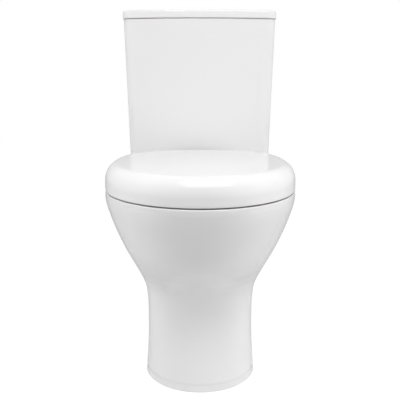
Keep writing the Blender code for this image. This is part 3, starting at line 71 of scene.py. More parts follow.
# ---------------------------------------------------------------- pan
RIM_WIDEST = FRONT + 0.225
PEDESTAL_HALF_WIDTH = 0.107
PEDESTAL_FRONT = FRONT + 0.168
PEDESTAL_WIDEST = FRONT + 0.274
BODY_BACK = FRONT + 0.480
BODY_REAR_HALF_WIDTH = 0.072
FLANGE_HEIGHT = 0.014
FLANGE_HALF_WIDTH = 0.106
DECK_HALF_WIDTH = 0.108
REAR_CORNER = 0.022
CHINA = 0.011  # wall thickness of the hollow foot
RIM_EDGE_RADIUS = 0.0018
RIM_INNER_EDGE = 0.008
BOWL_RIM_WIDTH = 0.038
BOWL_BACK = FRONT + 0.352
CHANNEL_DROP = 0.016
CHANNEL_HEIGHT = 0.026
CHANNEL_DEPTH = 0.012
JET_RADIUS = 0.0118  # hole from the inlet into the flush channel
DECK_THICKNESS = 0.0155
SHELF_FRONT = BODY_BACK - 0.030
WEB_INSET = 0.004
WEB_THICKNESS = 0.012
BOLT_X = 0.075
BOLT_HOLE = 0.0055
HINGE_HOLE = 0.007
FLOOR_HOLE_X = 0.089
FLOOR_HOLE_Y = BODY_BACK - 0.038
FLOOR_HOLE = 0.0045
# (share of the rim's height, share of the way from pedestal to rim at the side, and at the front)
PAN_SECTIONS = (
    (0.000, 0.095, 0.035),
    (0.050, 0.078, 0.028),
    (0.110, 0.055, 0.018),
    (0.215, 0.029, 0.000),
    (0.300, 0.023, -0.010),
    (0.390, 0.028, 0.004),
    (0.470, 0.070, 0.042),
    (0.525, 0.155, 0.128),
    (0.580, 0.271, 0.278),
    (0.647, 0.415, 0.492),
    (0.720, 0.582, 0.682),
    (0.790, 0.724, 0.812),
    (0.850, 0.838, 0.893),
    (0.905, 0.926, 0.952),
    (0.945, 0.982, 0.983),
    (0.972, 1.003, 0.996),
)
# (share of the rim's height, half width, front and back measured from the rim's front)
BOWL_SECTIONS = (
    (0.868, 0.1405, 0.041, 0.3515),
    (0.760, 0.126, 0.066, 0.345),
    (0.640, 0.104, 0.102, 0.337),
    (0.510, 0.076, 0.180, 0.326),
    (0.390, 0.052, 0.206, 0.316),
    (0.300, 0.038, 0.224, 0.304),
    (0.252, 0.022, 0.240, 0.288),
    (0.245, 0.010, 0.252, 0.276),
)
TRAP_RADIUS = 0.027
TRAP_START = FRONT + 0.262
TRAP_FLOOR_Z = 0.122
TRAP_RUN = 0.038
TRAP_RISE_ANGLE = radians(65)
TRAP_RISE = 0.055
TRAP_FALL_ANGLE = radians(40)
TRAP_BEND = 0.050
TRAP_CROWN_BEND = 0.042
SPIGOT_RADIUS = 0.051
SPIGOT_BORE = 0.0425
SPIGOT_HEIGHT = 0.185
SPIGOT_END = BODY_BACK + 0.060

# ---------------------------------------------------------------- cistern, lid and seat
TANK_BOW = 0.015
TANK_TAPER = 0.012
TANK_SIDE_TAPER = 0.008
TANK_CORNER = 0.018
TANK_BACK_CORNER = 0.010
TANK_WALL = 0.009
TANK_FOOT_RADIUS = 0.012
TANK_FLOOR = 0.010
VALVE_HOLE = 0.030
FILL_HOLE = 0.0118
WALL_HOLE = 0.005
WALL_HOLE_X = 0.110
WALL_HOLE_DROP = 0.045
COVER_CORNER = 0.0215
COVER_DOME = 0.002
COVER_EDGE = 0.0045
COVER_LIP = 0.015  # from its edge to the lip that hangs inside the cistern
BUTTON_WELL = 0.026  # from the bezel's underside to where its flange rests
SEAT_BACK = LID_HIGH.y
SEAT_SQUARENESS = 2.9  # of its outline behind its widest place, 2 being an ellipse
SEAT_WALL = 0.005
LID_ROUND = 0.024  # how far the rounding of its top edge goes inwards
LID_ROUND_UP = 0.033  # and how far down
LID_RIM_EDGE = 0.0015
LID_EDGE_Z = LID_LOW.z - 0.0008  # the gap over the rim reads a little narrower than the CAD's
LID_TOP_FRONT = RIM_HEIGHT + 0.0490
LID_TOP_BACK = RIM_HEIGHT + 0.0540
LID_REAR_LIFT = 0.014
LID_REAR_LIFT_FROM = SEAT_BACK - 0.070
RING_BACK = FRONT + 0.404
OPENING_HALF_WIDTH = 0.108
OPENING_FRONT = FRONT + 0.066
OPENING_BACK = FRONT + 0.335
RING_CLEARANCE = 0.0075  # from the lid's outside to the ring's
RING_LOW = RIM_HEIGHT + 0.008
RING_HIGH = RIM_HEIGHT + 0.030
# (share of the way from the outer edge to the opening, share of the ring's height), once round its section
RING_SECTION = (
    (0.03, 0.00), (0.005, 0.04), (0.00, 0.14), (0.00, 0.35), (0.00, 0.55), (0.015, 0.76), (0.06, 0.90),
    (0.16, 0.985), (0.35, 1.00), (0.58, 0.985), (0.80, 0.92), (0.93, 0.78), (0.99, 0.55), (1.00, 0.32),
    (0.99, 0.12), (0.95, 0.01), (0.85, 0.00),
)
LUG_RADIUS = 0.0075
LUG_EDGE = 0.0006
PIN_HOLE = 0.0044
POST_TO_LUG = 0.0105  # from a hinge post's middle to the near face of the lug beside it
LUG_WIDTH = 0.008

# ---------------------------------------------------------------- fineness
FRONT_POINTS = 36
SIDE_POINTS = 24
CORNER_POINTS = 8
BACK_POINTS = 6
REAR_POINTS = SIDE_POINTS + CORNER_POINTS + BACK_POINTS  # so that bowl, rim and seat outlines match
BOW_POINTS = 16
FLAT_POINTS = 8
TURN_POINTS = 64
SHARP_ANGLE = radians(32)


# ================================================================ materials
def new_material(name):
    made = bpy.data.materials.new(name)
    made.use_nodes = True
    return made, made.node_tree, made.node_tree.nodes["Principled BSDF"]


def add_node(tree, kind, **settings):
    node = tree.nodes.new(kind)
    for key, value in settings.items():
        if key in node.inputs:
            node.inputs[key].default_value = value
        else:
            setattr(node, key, value)
    return node


def surface(
    name, colour, roughness, metallic=0.0, shade=0.02, wear=0.02, grain=400.0, bump=0.02, **sockets
):
    """A Principled finish whose colour and roughness drift a little, with a fine bump.

    shade is how far the colour drifts, wear how far the roughness does, grain the bump's scale per metre.
    sockets sets further inputs of the shader, by name with _ for a space.
    """
    made, tree, shader = new_material(name)
    link = tree.links.new
    shader.inputs["Metallic"].default_value = metallic
    for key, value in sockets.items():
        shader.inputs[key.replace("_", " ")].default_value = value
    place = add_node(tree, "ShaderNodeTexCoord").outputs["Object"]
    broad = add_node(tree, "ShaderNodeTexNoise", Scale=9.0, Detail=3.0)
    link(place, broad.inputs["Vector"])
    tint = add_node(tree, "ShaderNodeMapRange")
    tint.inputs["To Min"].default_value = 1.0 - shade
    tint.inputs["To Max"].default_value = 1.0
    link(broad.outputs["Fac"], tint.inputs["Value"])
    mix = add_node(tree, "ShaderNodeMix", data_type="RGBA", blend_type="MULTIPLY")
    mix.inputs["Factor"].default_value = 1.0
    mix.inputs[6].default_value = (*colour, 1.0)
    link(tint.outputs["Result"], mix.inputs[7])
    link(mix.outputs[2], shader.inputs["Base Color"])
    cloud = add_node(tree, "ShaderNodeTexNoise", Scale=28.0, Detail=4.0)
    link(place, cloud.inputs["Vector"])
    rough = add_node(tree, "ShaderNodeMapRange")
    rough.inputs["To Min"].default_value = max(roughness - wear, 0.01)
    rough.inputs["To Max"].default_value = roughness + wear
    link(cloud.outputs["Fac"], rough.inputs["Value"])
    link(rough.outputs["Result"], shader.inputs["Roughness"])
    fine = add_node(tree, "ShaderNodeTexNoise", Scale=grain, Detail=2.0)
    link(place, fine.inputs["Vector"])
    relief = add_node(tree, "ShaderNodeBump", Strength=bump, Distance=0.001)
    link(fine.outputs["Fac"], relief.inputs["Height"])
    link(relief.outputs["Normal"], shader.inputs["Normal"])
    return made


MATERIALS = {
    "china": surface(
        "glazed_china", (0.868, 0.860, 0.863), 0.05, shade=0.012, wear=0.02, grain=38.0, bump=0.02,
        Coat_Weight=0.35, Coat_Roughness=0.03,
    ),
    "seat_plastic": surface(
        "polished_thermoset", (0.905, 0.897, 0.901), 0.09, shade=0.01, wear=0.02, grain=90.0, bump=0.012
    ),
    "valve_plastic": surface("moulded_white", (0.72, 0.73, 0.72), 0.42, shade=0.06, wear=0.08, bump=0.12),
    "blue_plastic": surface("moulded_blue", (0.06, 0.20, 0.46), 0.38, shade=0.12, wear=0.08, bump=0.12),
    "chrome": surface("polished_chrome", (0.83, 0.84, 0.86), 0.07, 1.0, shade=0.02, wear=0.03, bump=0.015),
    "steel": surface("zinc_steel", (0.52, 0.53, 0.54), 0.34, 1.0, shade=0.15, wear=0.10, bump=0.10),
    "brass": surface("turned_brass", (0.66, 0.49, 0.22), 0.30, 1.0, shade=0.20, wear=0.10, bump=0.08),
    "rubber": surface("black_rubber", (0.035, 0.035, 0.036), 0.72, shade=0.25, wear=0.10, bump=0.25),
    "soft_white": surface("buffer_rubber", (0.66, 0.66, 0.65), 0.55, shade=0.05, wear=0.08, bump=0.15),
}


# ================================================================ building blocks
def piece(name, bm, finish, body, *replaced):
    """A shown piece with its finish, riding on a body and standing for CAD nodes."""
    bmesh.ops.recalc_face_normals(bm, faces=bm.faces)
    mesh = bpy.data.meshes.new(name)
    bm.to_mesh(mesh)
    bm.free()
    obj = bpy.data.objects.new(name, mesh)
    bpy.context.scene.collection.objects.link(obj)
    mesh.materials.append(MATERIALS[finish])
    smooth(mesh)
    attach(obj, body)
    if replaced:
        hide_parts(*replaced)
    return obj


def smooth(mesh):
    mesh.shade_smooth()
    mesh.set_sharp_from_angle(angle=SHARP_ANGLE)


def skin(rings, endless=False, caps=True):
    """A bmesh through rings of equally many points."""
    bm = bmesh.new()
    rows = [[bm.verts.new(point) for point in ring] for ring in rings]
    count = len(rows[0])
    pairs = list(zip(rows, rows[1:]))
    if endless:
        pairs.append((rows[-1], rows[0]))
    elif caps:
        bm.faces.new(rows[0])
        bm.faces.new(rows[-1])
    for low, high in pairs:
        for i in range(count):
            j = (i + 1) % count
            bm.faces.new((low[i], low[j], high[j], high[i]))
    return bm


def circle(radius, place, axis="Z", points=TURN_POINTS):
    ring = []
    for i in range(points):
        angle = 2 * pi * i / points
        u, v = radius * cos(angle), radius * sin(angle)
        offset = {"X": (0, u, v), "Y": (v, 0, u), "Z": (u, v, 0)}[axis]
        ring.append(Vector(place) + Vector(offset))
    return ring


def turned(profile, centre, bored=False):
    """(radius, z) pairs turned about the vertical axis at centre."""
    return skin([circle(radius, (*centre, z)) for radius, z in profile], endless=bored)


def helper(name, bm):
    """A solid that only joins or cuts; it is removed when its Boolean is settled."""
    bmesh.ops.recalc_face_normals(bm, faces=bm.faces)
    mesh = bpy.data.meshes.new(name)
    bm.to_mesh(mesh)
    bm.free()
    obj = bpy.data.objects.new(name, mesh)
    bpy.context.scene.collection.objects.link(obj)
    return obj


def settle(obj, joins=(), cuts=()):
    """Joins and cuts with helpers, applies the result and removes the helpers."""
    for other, operation in [(o, "UNION") for o in joins] + [(o, "DIFFERENCE") for o in cuts]:
        modifier = obj.modifiers.new(operation, "BOOLEAN")
        modifier.operation = operation
        modifier.solver = "MANIFOLD"
        modifier.object = other
    bpy.context.view_layer.update()
    graph = bpy.context.evaluated_depsgraph_get()
    mesh = bpy.data.meshes.new_from_object(obj.evaluated_get(graph))
    obj.modifiers.clear()
    obj.data = mesh
    smooth(mesh)
    for other in (*joins, *cuts):
        bpy.data.objects.remove(other)


def through(points, steps):
    """A smooth line through control points: a Catmull-Rom curve with steps between each pair."""
    line = []
    for i in range(len(points) - 1):
        before = points[max(i - 1, 0)]
        start, end = points[i], points[i + 1]
        after = points[min(i + 2, len(points) - 1)]
        for k in range(steps):
            t = k / steps
            line.append(tuple(catmull(a, b, c, d, t) for a, b, c, d in zip(before, start, end, after)))
    line.append(tuple(points[-1]))
    return line


def catmull(a, b, c, d, t):
    square, cube = t * t, t * t * t
    bent = (2 * a - 5 * b + 4 * c - d) * square + (3 * b - a - 3 * c + d) * cube
    return 0.5 * (2 * b + (c - a) * t + bent)


def mirrored(half):
    return half + [(-x, y) for x, y in reversed(half[1:-1])]


def flat(outline, z):
    return [Vector((x, y, z)) for x, y in outline]


def rounding(radius, steps):
    """(inwards, upwards) along an edge rounding, from the side face up to the top."""
    turn = []
    for i in range(steps + 1):
        angle = pi / 2 * i / steps
        turn.append((radius * (1 - cos(angle)), radius * sin(angle)))
    return turn


# ================================================================ outlines seen from above
def body_outline(half_width, front, widest, back, rear_half_width, corner=REAR_CORNER):
    """A half ellipse in front, sides that draw in, and a flat back with round corners."""
    half = []
    for i in range(FRONT_POINTS):
        angle = pi / 2 * i / FRONT_POINTS
        half.append((half_width * sin(angle), widest - (widest - front) * cos(angle)))
    side_end = back - corner
    for i in range(SIDE_POINTS):
        share = i / SIDE_POINTS
        x = rear_half_width + (half_width - rear_half_width) * (1 + cos(pi * share)) / 2
        half.append((x, widest + (side_end - widest) * share))
    for i in range(CORNER_POINTS):
        angle = pi / 2 * i / CORNER_POINTS
        half.append((rear_half_width - corner + corner * cos(angle), side_end + corner * sin(angle)))
    for i in range(BACK_POINTS + 1):
        half.append(((rear_half_width - corner) * (1 - i / BACK_POINTS), back))
    return mirrored(half)


def egg_outline(half_width, front, widest, back, squareness=2.0):
    """A half ellipse in front and a half superellipse behind, with as many points as the body's outline."""
    half = []
    for i in range(FRONT_POINTS):
        angle = pi / 2 * i / FRONT_POINTS
        half.append((half_width * sin(angle), widest - (widest - front) * cos(angle)))
    for i in range(REAR_POINTS + 1):
        angle = pi / 2 * i / REAR_POINTS
        x = half_width * max(cos(angle), 0.0) ** (2 / squareness)
        y = widest + (back - widest) * sin(angle) ** (2 / squareness)
        half.append((x, y))
    half[-1] = (0.0, back)
    return mirrored(half)


def tank_outline(half_width, front, back, bow, corner, back_corner):
    """A bowed front, round front corners that run on from the bow, and a flat back."""
    half = []
    side = half_width - corner
    for i in range(BOW_POINTS):
        x = side * i / BOW_POINTS
        half.append((x, front + bow * (x / half_width) ** 2))
    corner_y = front + bow * (side / half_width) ** 2 + corner
    for i in range(CORNER_POINTS * 2 + 1):
        angle = pi / 2 * i / (CORNER_POINTS * 2)
        half.append((side + corner * sin(angle), corner_y - corner * cos(angle)))
    for i in range(1, FLAT_POINTS):
        half.append((half_width, corner_y + (back - back_corner - corner_y) * i / FLAT_POINTS))
    for i in range(CORNER_POINTS + 1):
        angle = pi / 2 * i / CORNER_POINTS
        half.append((half_width - back_corner * (1 - cos(angle)), back - back_corner * (1 - sin(angle))))
    for i in range(1, FLAT_POINTS):
        half.append(((half_width - back_corner) * (1 - i / FLAT_POINTS), back))
    half.append((0.0, back))
    return mirrored(half)


# ================================================================ pan
def pan_outline(side, front, rear_half_width, inset=0.0):
    """The pan's outline, given as shares of the way from the pedestal out to the rim."""
    half_width = PEDESTAL_HALF_WIDTH + side * (RIM_HALF_WIDTH - PEDESTAL_HALF_WIDTH)
    front_y = PEDESTAL_FRONT + front * (FRONT - PEDESTAL_FRONT)
    share = min(max(side, 0.0), 1.0)
    widest = PEDESTAL_WIDEST + share * (RIM_WIDEST - PEDESTAL_WIDEST)
    return body_outline(
        half_width - inset, front_y + inset, widest, BODY_BACK - inset, rear_half_width - inset
    )


def outside_rings():
    """The pan's outside from the rim's edge down to the foot."""
    rings = []
    for inset, up in reversed(rounding(RIM_EDGE_RADIUS, 5)):
        outline = body_outline(
            RIM_HALF_WIDTH - inset, FRONT + inset, RIM_WIDEST, BODY_BACK - inset, DECK_HALF_WIDTH - inset
        )
        rings.append(flat(outline, RIM_HEIGHT - RIM_EDGE_RADIUS + up))
    sections = [section for section in through(PAN_SECTIONS, 5) if section[0] * RIM_HEIGHT > FLANGE_HEIGHT]
    for height, side, front in reversed(sections):
        share = min(max(side, 0.0), 1.0)
        rear = BODY_REAR_HALF_WIDTH + share * (DECK_HALF_WIDTH - BODY_REAR_HALF_WIDTH)
        rings.append(flat(pan_outline(side, front, rear), height * RIM_HEIGHT))
    foot_side, foot_front = PAN_SECTIONS[1][1:]
    for rear, z in (
        (BODY_REAR_HALF_WIDTH, FLANGE_HEIGHT + 0.0005),
        (FLANGE_HALF_WIDTH - 0.002, FLANGE_HEIGHT),
        (FLANGE_HALF_WIDTH, FLANGE_HEIGHT - 0.002),
    ):
        rings.append(flat(pan_outline(foot_side, foot_front, rear), z))
    foot_side, foot_front = PAN_SECTIONS[0][1:]
    rings.append(flat(pan_outline(foot_side, foot_front, FLANGE_HALF_WIDTH), 0.0015))
    rings.append(flat(pan_outline(foot_side, foot_front, FLANGE_HALF_WIDTH, 0.0015), 0.0))
    return rings


def hollow_rings():
    """The hollow foot, from the floor up inside the pedestal."""
    foot_side, foot_front = PAN_SECTIONS[0][1:]
    rings = []
    for z, inset in ((0.0, CHINA - 0.002), (0.002, CHINA), (0.040, CHINA), (0.074, CHINA + 0.004)):
        rings.append(flat(pan_outline(foot_side * 0.5, foot_front, BODY_REAR_HALF_WIDTH, inset), z))
    rings.append(flat(pan_outline(0.0, 0.0, BODY_REAR_HALF_WIDTH, CHINA + 0.022), 0.080))
    return rings


def bowl_rings():
    """The inside from the sump up the bowl, round the flush channel and over the rim's inner edge."""
    rings = []
    for height, half_width, front, back in reversed(through(BOWL_SECTIONS, 5)):
        middle = FRONT + (front + back) / 2
        outline = egg_outline(half_width, FRONT + front, middle, FRONT + back)
        rings.append(flat(outline, height * RIM_HEIGHT))
    half_width = RIM_HALF_WIDTH - BOWL_RIM_WIDTH
    front = FRONT + BOWL_RIM_WIDTH
    channel_top = RIM_HEIGHT - CHANNEL_DROP
    channel_bottom = channel_top - CHANNEL_HEIGHT
    section = [(channel_bottom, CHANNEL_DEPTH * 0.75)]
    section += [(channel_bottom + 0.004, CHANNEL_DEPTH), (channel_top - 0.003, CHANNEL_DEPTH)]
    section += [(channel_top, CHANNEL_DEPTH - 0.003), (channel_top, 0.004)]
    section += [(channel_top + 0.0015, 0.0008), (channel_top + 0.004, 0.0)]
    section += [(RIM_HEIGHT - RIM_INNER_EDGE + up, inset) for inset, up in rounding(RIM_INNER_EDGE, 6)]
    for z, out in section:
        outline = egg_outline(half_width + out, front - out, RIM_WIDEST - 0.02, BOWL_BACK + out, 2.3)
        rings.append(flat(outline, z))
    return rings


def trap_path():
    """(y, z, heading) along the middle of the trapway."""
    path = [(TRAP_START, TRAP_FLOOR_Z, 0.0)]

    def straight(length, steps):
        y, z, heading = path[-1]
        for i in range(1, steps + 1):
            along = length * i / steps
            path.append((y + along * cos(heading), z + along * sin(heading), heading))

    def bend(radius, turn, steps):
        y, z, heading = path[-1]
        side = 1 if turn > 0 else -1
        centre_y = y - side * radius * sin(heading)
        centre_z = z + side * radius * cos(heading)
        for i in range(1, steps + 1):
            now = heading + turn * i / steps
            path.append((centre_y + side * radius * sin(now), centre_z - side * radius * cos(now), now))

    straight(TRAP_RUN, 2)
    bend(TRAP_BEND, TRAP_RISE_ANGLE, 8)
    straight(TRAP_RISE, 2)
    bend(TRAP_CROWN_BEND, -TRAP_RISE_ANGLE - TRAP_FALL_ANGLE, 12)
    last_drop = TRAP_BEND * (1 - cos(TRAP_FALL_ANGLE))
    straight((path[-1][1] - last_drop - SPIGOT_HEIGHT) / sin(TRAP_FALL_ANGLE), 2)
    bend(TRAP_BEND, TRAP_FALL_ANGLE, 6)
    return path


def tube(path, radii, points=48):
    """Rings square to a path in the middle plane."""
    rings = []
    for (y, z, heading), radius in zip(path, radii):
        ring = []
        for i in range(points):
            angle = 2 * pi * i / points
            up = radius * sin(angle)
            ring.append(Vector((radius * cos(angle), y - up * sin(heading), z + up * cos(heading))))
        rings.append(ring)
    return rings


def rounded_slab(low, high, corner, edge):
    """A slab with round corners seen from above and softly rounded top and bottom edges."""
    rings = []
    profile = [(inset, low.z + edge - up) for inset, up in reversed(rounding(edge, 4))]
    profile += [(inset, high.z - edge + up) for inset, up in rounding(edge, 4)]
    for inset, z in profile:
        ring = []
        radius = corner - inset
        for side_x, side_y, start in ((1, -1, -pi / 2), (1, 1, 0), (-1, 1, pi / 2), (-1, -1, pi)):
            centre_x = (high.x if side_x > 0 else low.x) - side_x * corner
            centre_y = (high.y if side_y > 0 else low.y) - side_y * corner
            for i in range(7):
                angle = start + pi / 2 * i / 6
                ring.append(Vector((centre_x + radius * cos(angle), centre_y + radius * sin(angle), z)))
        rings.append(ring)
    return skin(rings)


def deck_shelf():
    """The deck that the cistern stands on."""
    low = Vector((-DECK_HALF_WIDTH + 0.001, SHELF_FRONT - 0.03, RIM_HEIGHT - DECK_THICKNESS))
    high = Vector((DECK_HALF_WIDTH - 0.001, PAN_HIGH.y, RIM_HEIGHT - 0.0001))
    return helper("shelf", rounded_slab(low, high, 0.018, 0.004))


def deck_web(side):
    """A web under one side of the deck."""
    deck_bottom = RIM_HEIGHT - DECK_THICKNESS
    outline = (
        (SHELF_FRONT - 0.01, deck_bottom - 0.070),
        (BODY_BACK - 0.004, deck_bottom - 0.066),
        (BODY_BACK + 0.006, deck_bottom - 0.058),
        (PAN_HIGH.y - 0.022, deck_bottom - 0.010),
        (PAN_HIGH.y - 0.012, deck_bottom + 0.004),
        (SHELF_FRONT - 0.01, deck_bottom + 0.004),
    )
    middle_y = sum(y for y, _ in outline) / len(outline)
    middle_z = sum(z for _, z in outline) / len(outline)
    outer, inner = DECK_HALF_WIDTH - WEB_INSET, DECK_HALF_WIDTH - WEB_INSET - WEB_THICKNESS
    edge = 0.0015
    rings = []
    for x, shrink in ((outer, 0.985), (outer - edge, 1.0), (inner + edge, 1.0), (inner, 0.985)):
        ring = []
        for y, z in outline:
            drawn_y, drawn_z = middle_y + (y - middle_y) * shrink, middle_z + (z - middle_z) * shrink
            ring.append(Vector((side * x, drawn_y, drawn_z)))
        rings.append(ring)
    return helper("web", skin(rings))


def outlet_spigot():
    """The spigot behind the pan, with a fillet where it leaves the body."""
    edge = 0.002
    profile = (
        (SPIGOT_RADIUS, BODY_BACK - 0.020),
        (SPIGOT_RADIUS + 0.004, BODY_BACK - 0.002),
        (SPIGOT_RADIUS + 0.001, BODY_BACK + 0.004),
        (SPIGOT_RADIUS, BODY_BACK + 0.010),
        (SPIGOT_RADIUS, SPIGOT_END - edge),
        (SPIGOT_RADIUS - edge * 0.3, SPIGOT_END - edge * 0.3),
        (SPIGOT_RADIUS - edge, SPIGOT_END),
    )
    return helper("spigot", skin([circle(radius, (0, y, SPIGOT_HEIGHT), "Y") for radius, y in profile]))


def trapway():
    """The water way from the sump to the spigot's end, which widens over its last bend."""
    path = trap_path()
    widen_from, widen_to = path[-9][0], path[-1][0]
    path += [(SPIGOT_END + 0.010, SPIGOT_HEIGHT, 0.0)]
    radii = []
    for y, _, _ in path:
        share = min(max((y - widen_from) / (widen_to - widen_from), 0.0), 1.0)
        radii.append(TRAP_RADIUS + (SPIGOT_BORE - TRAP_RADIUS) * share * share * (3 - 2 * share))
    return helper("trap", skin(tube(path, radii)))


def make_pan():
    rings = bowl_rings() + outside_rings() + hollow_rings()
    pan = piece("pan_china", skin(rings), "china", "pan", "pan")

    below_inlet = ((0.038, RIM_HEIGHT - 0.034), (0.054, RIM_HEIGHT - 0.022), (0.056, RIM_HEIGHT - 0.004))
    inlet_wall = helper("inlet_wall", turned(below_inlet, (0, VALVE_Y)))
    joins = [deck_shelf(), deck_web(-1), deck_web(1), outlet_spigot(), inlet_wall]

    recess_floor = RIM_HEIGHT - 0.013
    inlet = (
        (0.027, RIM_HEIGHT - 0.030),
        (0.027, recess_floor),
        (0.048, recess_floor),
        (0.048, RIM_HEIGHT + 0.006),
    )
    cuts = [trapway(), helper("recess", turned(inlet, (0, VALVE_Y)))]
    channel_middle = RIM_HEIGHT - CHANNEL_DROP - CHANNEL_HEIGHT / 2
    ends = [(0, y, channel_middle) for y in (BOWL_BACK - 0.02, BOWL_BACK + 0.05)]
    cuts.append(helper("jet", skin([circle(JET_RADIUS, end, "Y", 32) for end in ends])))
    for side in (-1, 1):
        for x, y, radius, low, high in (
            (FLOOR_HOLE_X, FLOOR_HOLE_Y, FLOOR_HOLE, -0.01, 0.02),
            (BOLT_X, VALVE_Y, BOLT_HOLE, RIM_HEIGHT - 0.03, RIM_HEIGHT + 0.01),
            (HINGE_X, HINGE.y, HINGE_HOLE, RIM_HEIGHT - 0.02, RIM_HEIGHT + 0.01),
        ):
            cuts.append(helper("hole", turned(((radius, low), (radius, high)), (side * x, y))))
    settle(pan, joins, cuts)


# ================================================================ cistern and its lid
def tank_ring(z, inset=0.0, placed_at=None):
    """The cistern's outline at the height z, drawn in by inset and placed there or at another height."""
    share = (z - TANK_LOW.z) / (TANK_HIGH.z - TANK_LOW.z)
    half_width = TANK_HIGH.x - TANK_SIDE_TAPER * (1 - share)
    front = TANK_LOW.y + (1 - share) * TANK_TAPER
    outline = tank_outline(
        half_width - inset,
        front + inset,
        BACK - inset,
        TANK_BOW,
        max(TANK_CORNER - inset, 0.005),
        max(TANK_BACK_CORNER - inset, 0.003),
    )
    return flat(outline, z if placed_at is None else placed_at)


def make_cistern():
    lip = 0.0015  # edge rounding at its open top
    side_from = TANK_LOW.z + TANK_FOOT_RADIUS
    rings = []
    for inset, up in reversed(rounding(TANK_FOOT_RADIUS, 6)):
        rings.append(tank_ring(side_from, inset, side_from - up))
    for i in range(1, 13):
        rings.append(tank_ring(side_from + (TANK_HIGH.z - lip - side_from) * i / 12))
    rings.append(tank_ring(TANK_HIGH.z, lip))
    rings.append(tank_ring(TANK_HIGH.z, TANK_WALL - lip))
    floor = TANK_LOW.z + TANK_FLOOR
    for i in range(9):
        rings.append(tank_ring(TANK_HIGH.z - lip + (floor + 0.012 - TANK_HIGH.z) * i / 8, TANK_WALL))
    corner = 0.011
    for inset, up in rounding(corner, 5):
        rings.append(tank_ring(floor + corner, TANK_WALL + inset, floor + corner - up))
    tank = piece("cistern_china", skin(rings), "china", "pan", "cistern")

    fill_low, fill_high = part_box("fill_valve_washer")
    fill_x, fill_y = (fill_low.x + fill_high.x) / 2, (fill_low.y + fill_high.y) / 2
    cuts = []
    for radius, x, y in (
        (VALVE_HOLE, 0.0, VALVE_Y),
        (FILL_HOLE, fill_x, fill_y),
        (BOLT_HOLE, -BOLT_X, VALVE_Y),
        (BOLT_HOLE, BOLT_X, VALVE_Y),
    ):
        cuts.append(helper("hole", turned(((radius, TANK_LOW.z - 0.01), (radius, floor + 0.01)), (x, y))))
    for side in (-1, 1):
        place = [(side * WALL_HOLE_X, y, TANK_HIGH.z - WALL_HOLE_DROP) for y in (BACK - 0.02, BACK + 0.01)]
        cuts.append(helper("hole", skin([circle(WALL_HOLE, where, "Y", 32) for where in place])))
    settle(tank, cuts=cuts)


def make_cistern_lid():
    bottom = TANK_HIGH.z + 2 * GAP
    top = COVER_HIGH.z

    def ring(inset, z):
        half_width, front = COVER_HIGH.x - inset, COVER_LOW.y + inset
        corner = max(COVER_CORNER - inset, 0.006)
        return flat(tank_outline(half_width, front, BACK - inset, TANK_BOW, corner, TANK_BACK_CORNER), z)

    rings = []
    dome_width = 0.060
    for inset in (dome_width, 0.045, 0.030, 0.018, 0.010):
        rings.append(ring(inset, top - COVER_DOME * (1 - inset / dome_width) ** 2))
    for inset, up in reversed(rounding(COVER_EDGE, 6)):
        rings.append(ring(inset, top - COVER_DOME - COVER_EDGE + up))
    rings.append(ring(0.0, bottom + 0.0015))
    rings.append(ring(0.0015, bottom))
    for further_in, z in (
        (0.0, bottom),
        (0.0, bottom - 0.007),
        (0.001, bottom - 0.008),
        (0.005, bottom - 0.008),
        (0.006, bottom - 0.007),
        (0.006, top - 0.0125),
        (0.0075, top - 0.011),
    ):
        rings.append(ring(COVER_LIP + further_in, z))
    cover = piece("cistern_lid_china", skin(rings), "china", "cistern_lid", "cistern_lid")

    well_floor = BEZEL_LOW.z + BUTTON_WELL - GAP
    well = (
        (0.0212, bottom - 0.02),
        (0.0212, well_floor),
        (0.0325, well_floor),
        (0.0332, well_floor + 0.0008),
        (0.0365, top + 0.003),
    )
    settle(cover, cuts=[helper("hole", turned(well, (0, VALVE_Y)))])


# ================================================================ seat
def lid_top(y):
    """The height of the lid's top, which rises a little towards its back."""
    share = (y - FRONT) / (SEAT_BACK - FRONT)
    return LID_TOP_FRONT + (LID_TOP_BACK - LID_TOP_FRONT) * share


def lid_edge(y):
    """The height of the lid's lower edge, which rises towards the hinge."""
    share = min(max((y - LID_REAR_LIFT_FROM) / (HINGE.y - LID_REAR_LIFT_FROM), 0.0), 1.0)
    return LID_EDGE_Z + LID_REAR_LIFT * share * share * (3 - 2 * share)


def seat_outline(inset, back=None):
    back = SEAT_BACK if back is None else back
    return egg_outline(RIM_HALF_WIDTH - inset, FRONT + inset, RIM_WIDEST, back - inset, SEAT_SQUARENESS)


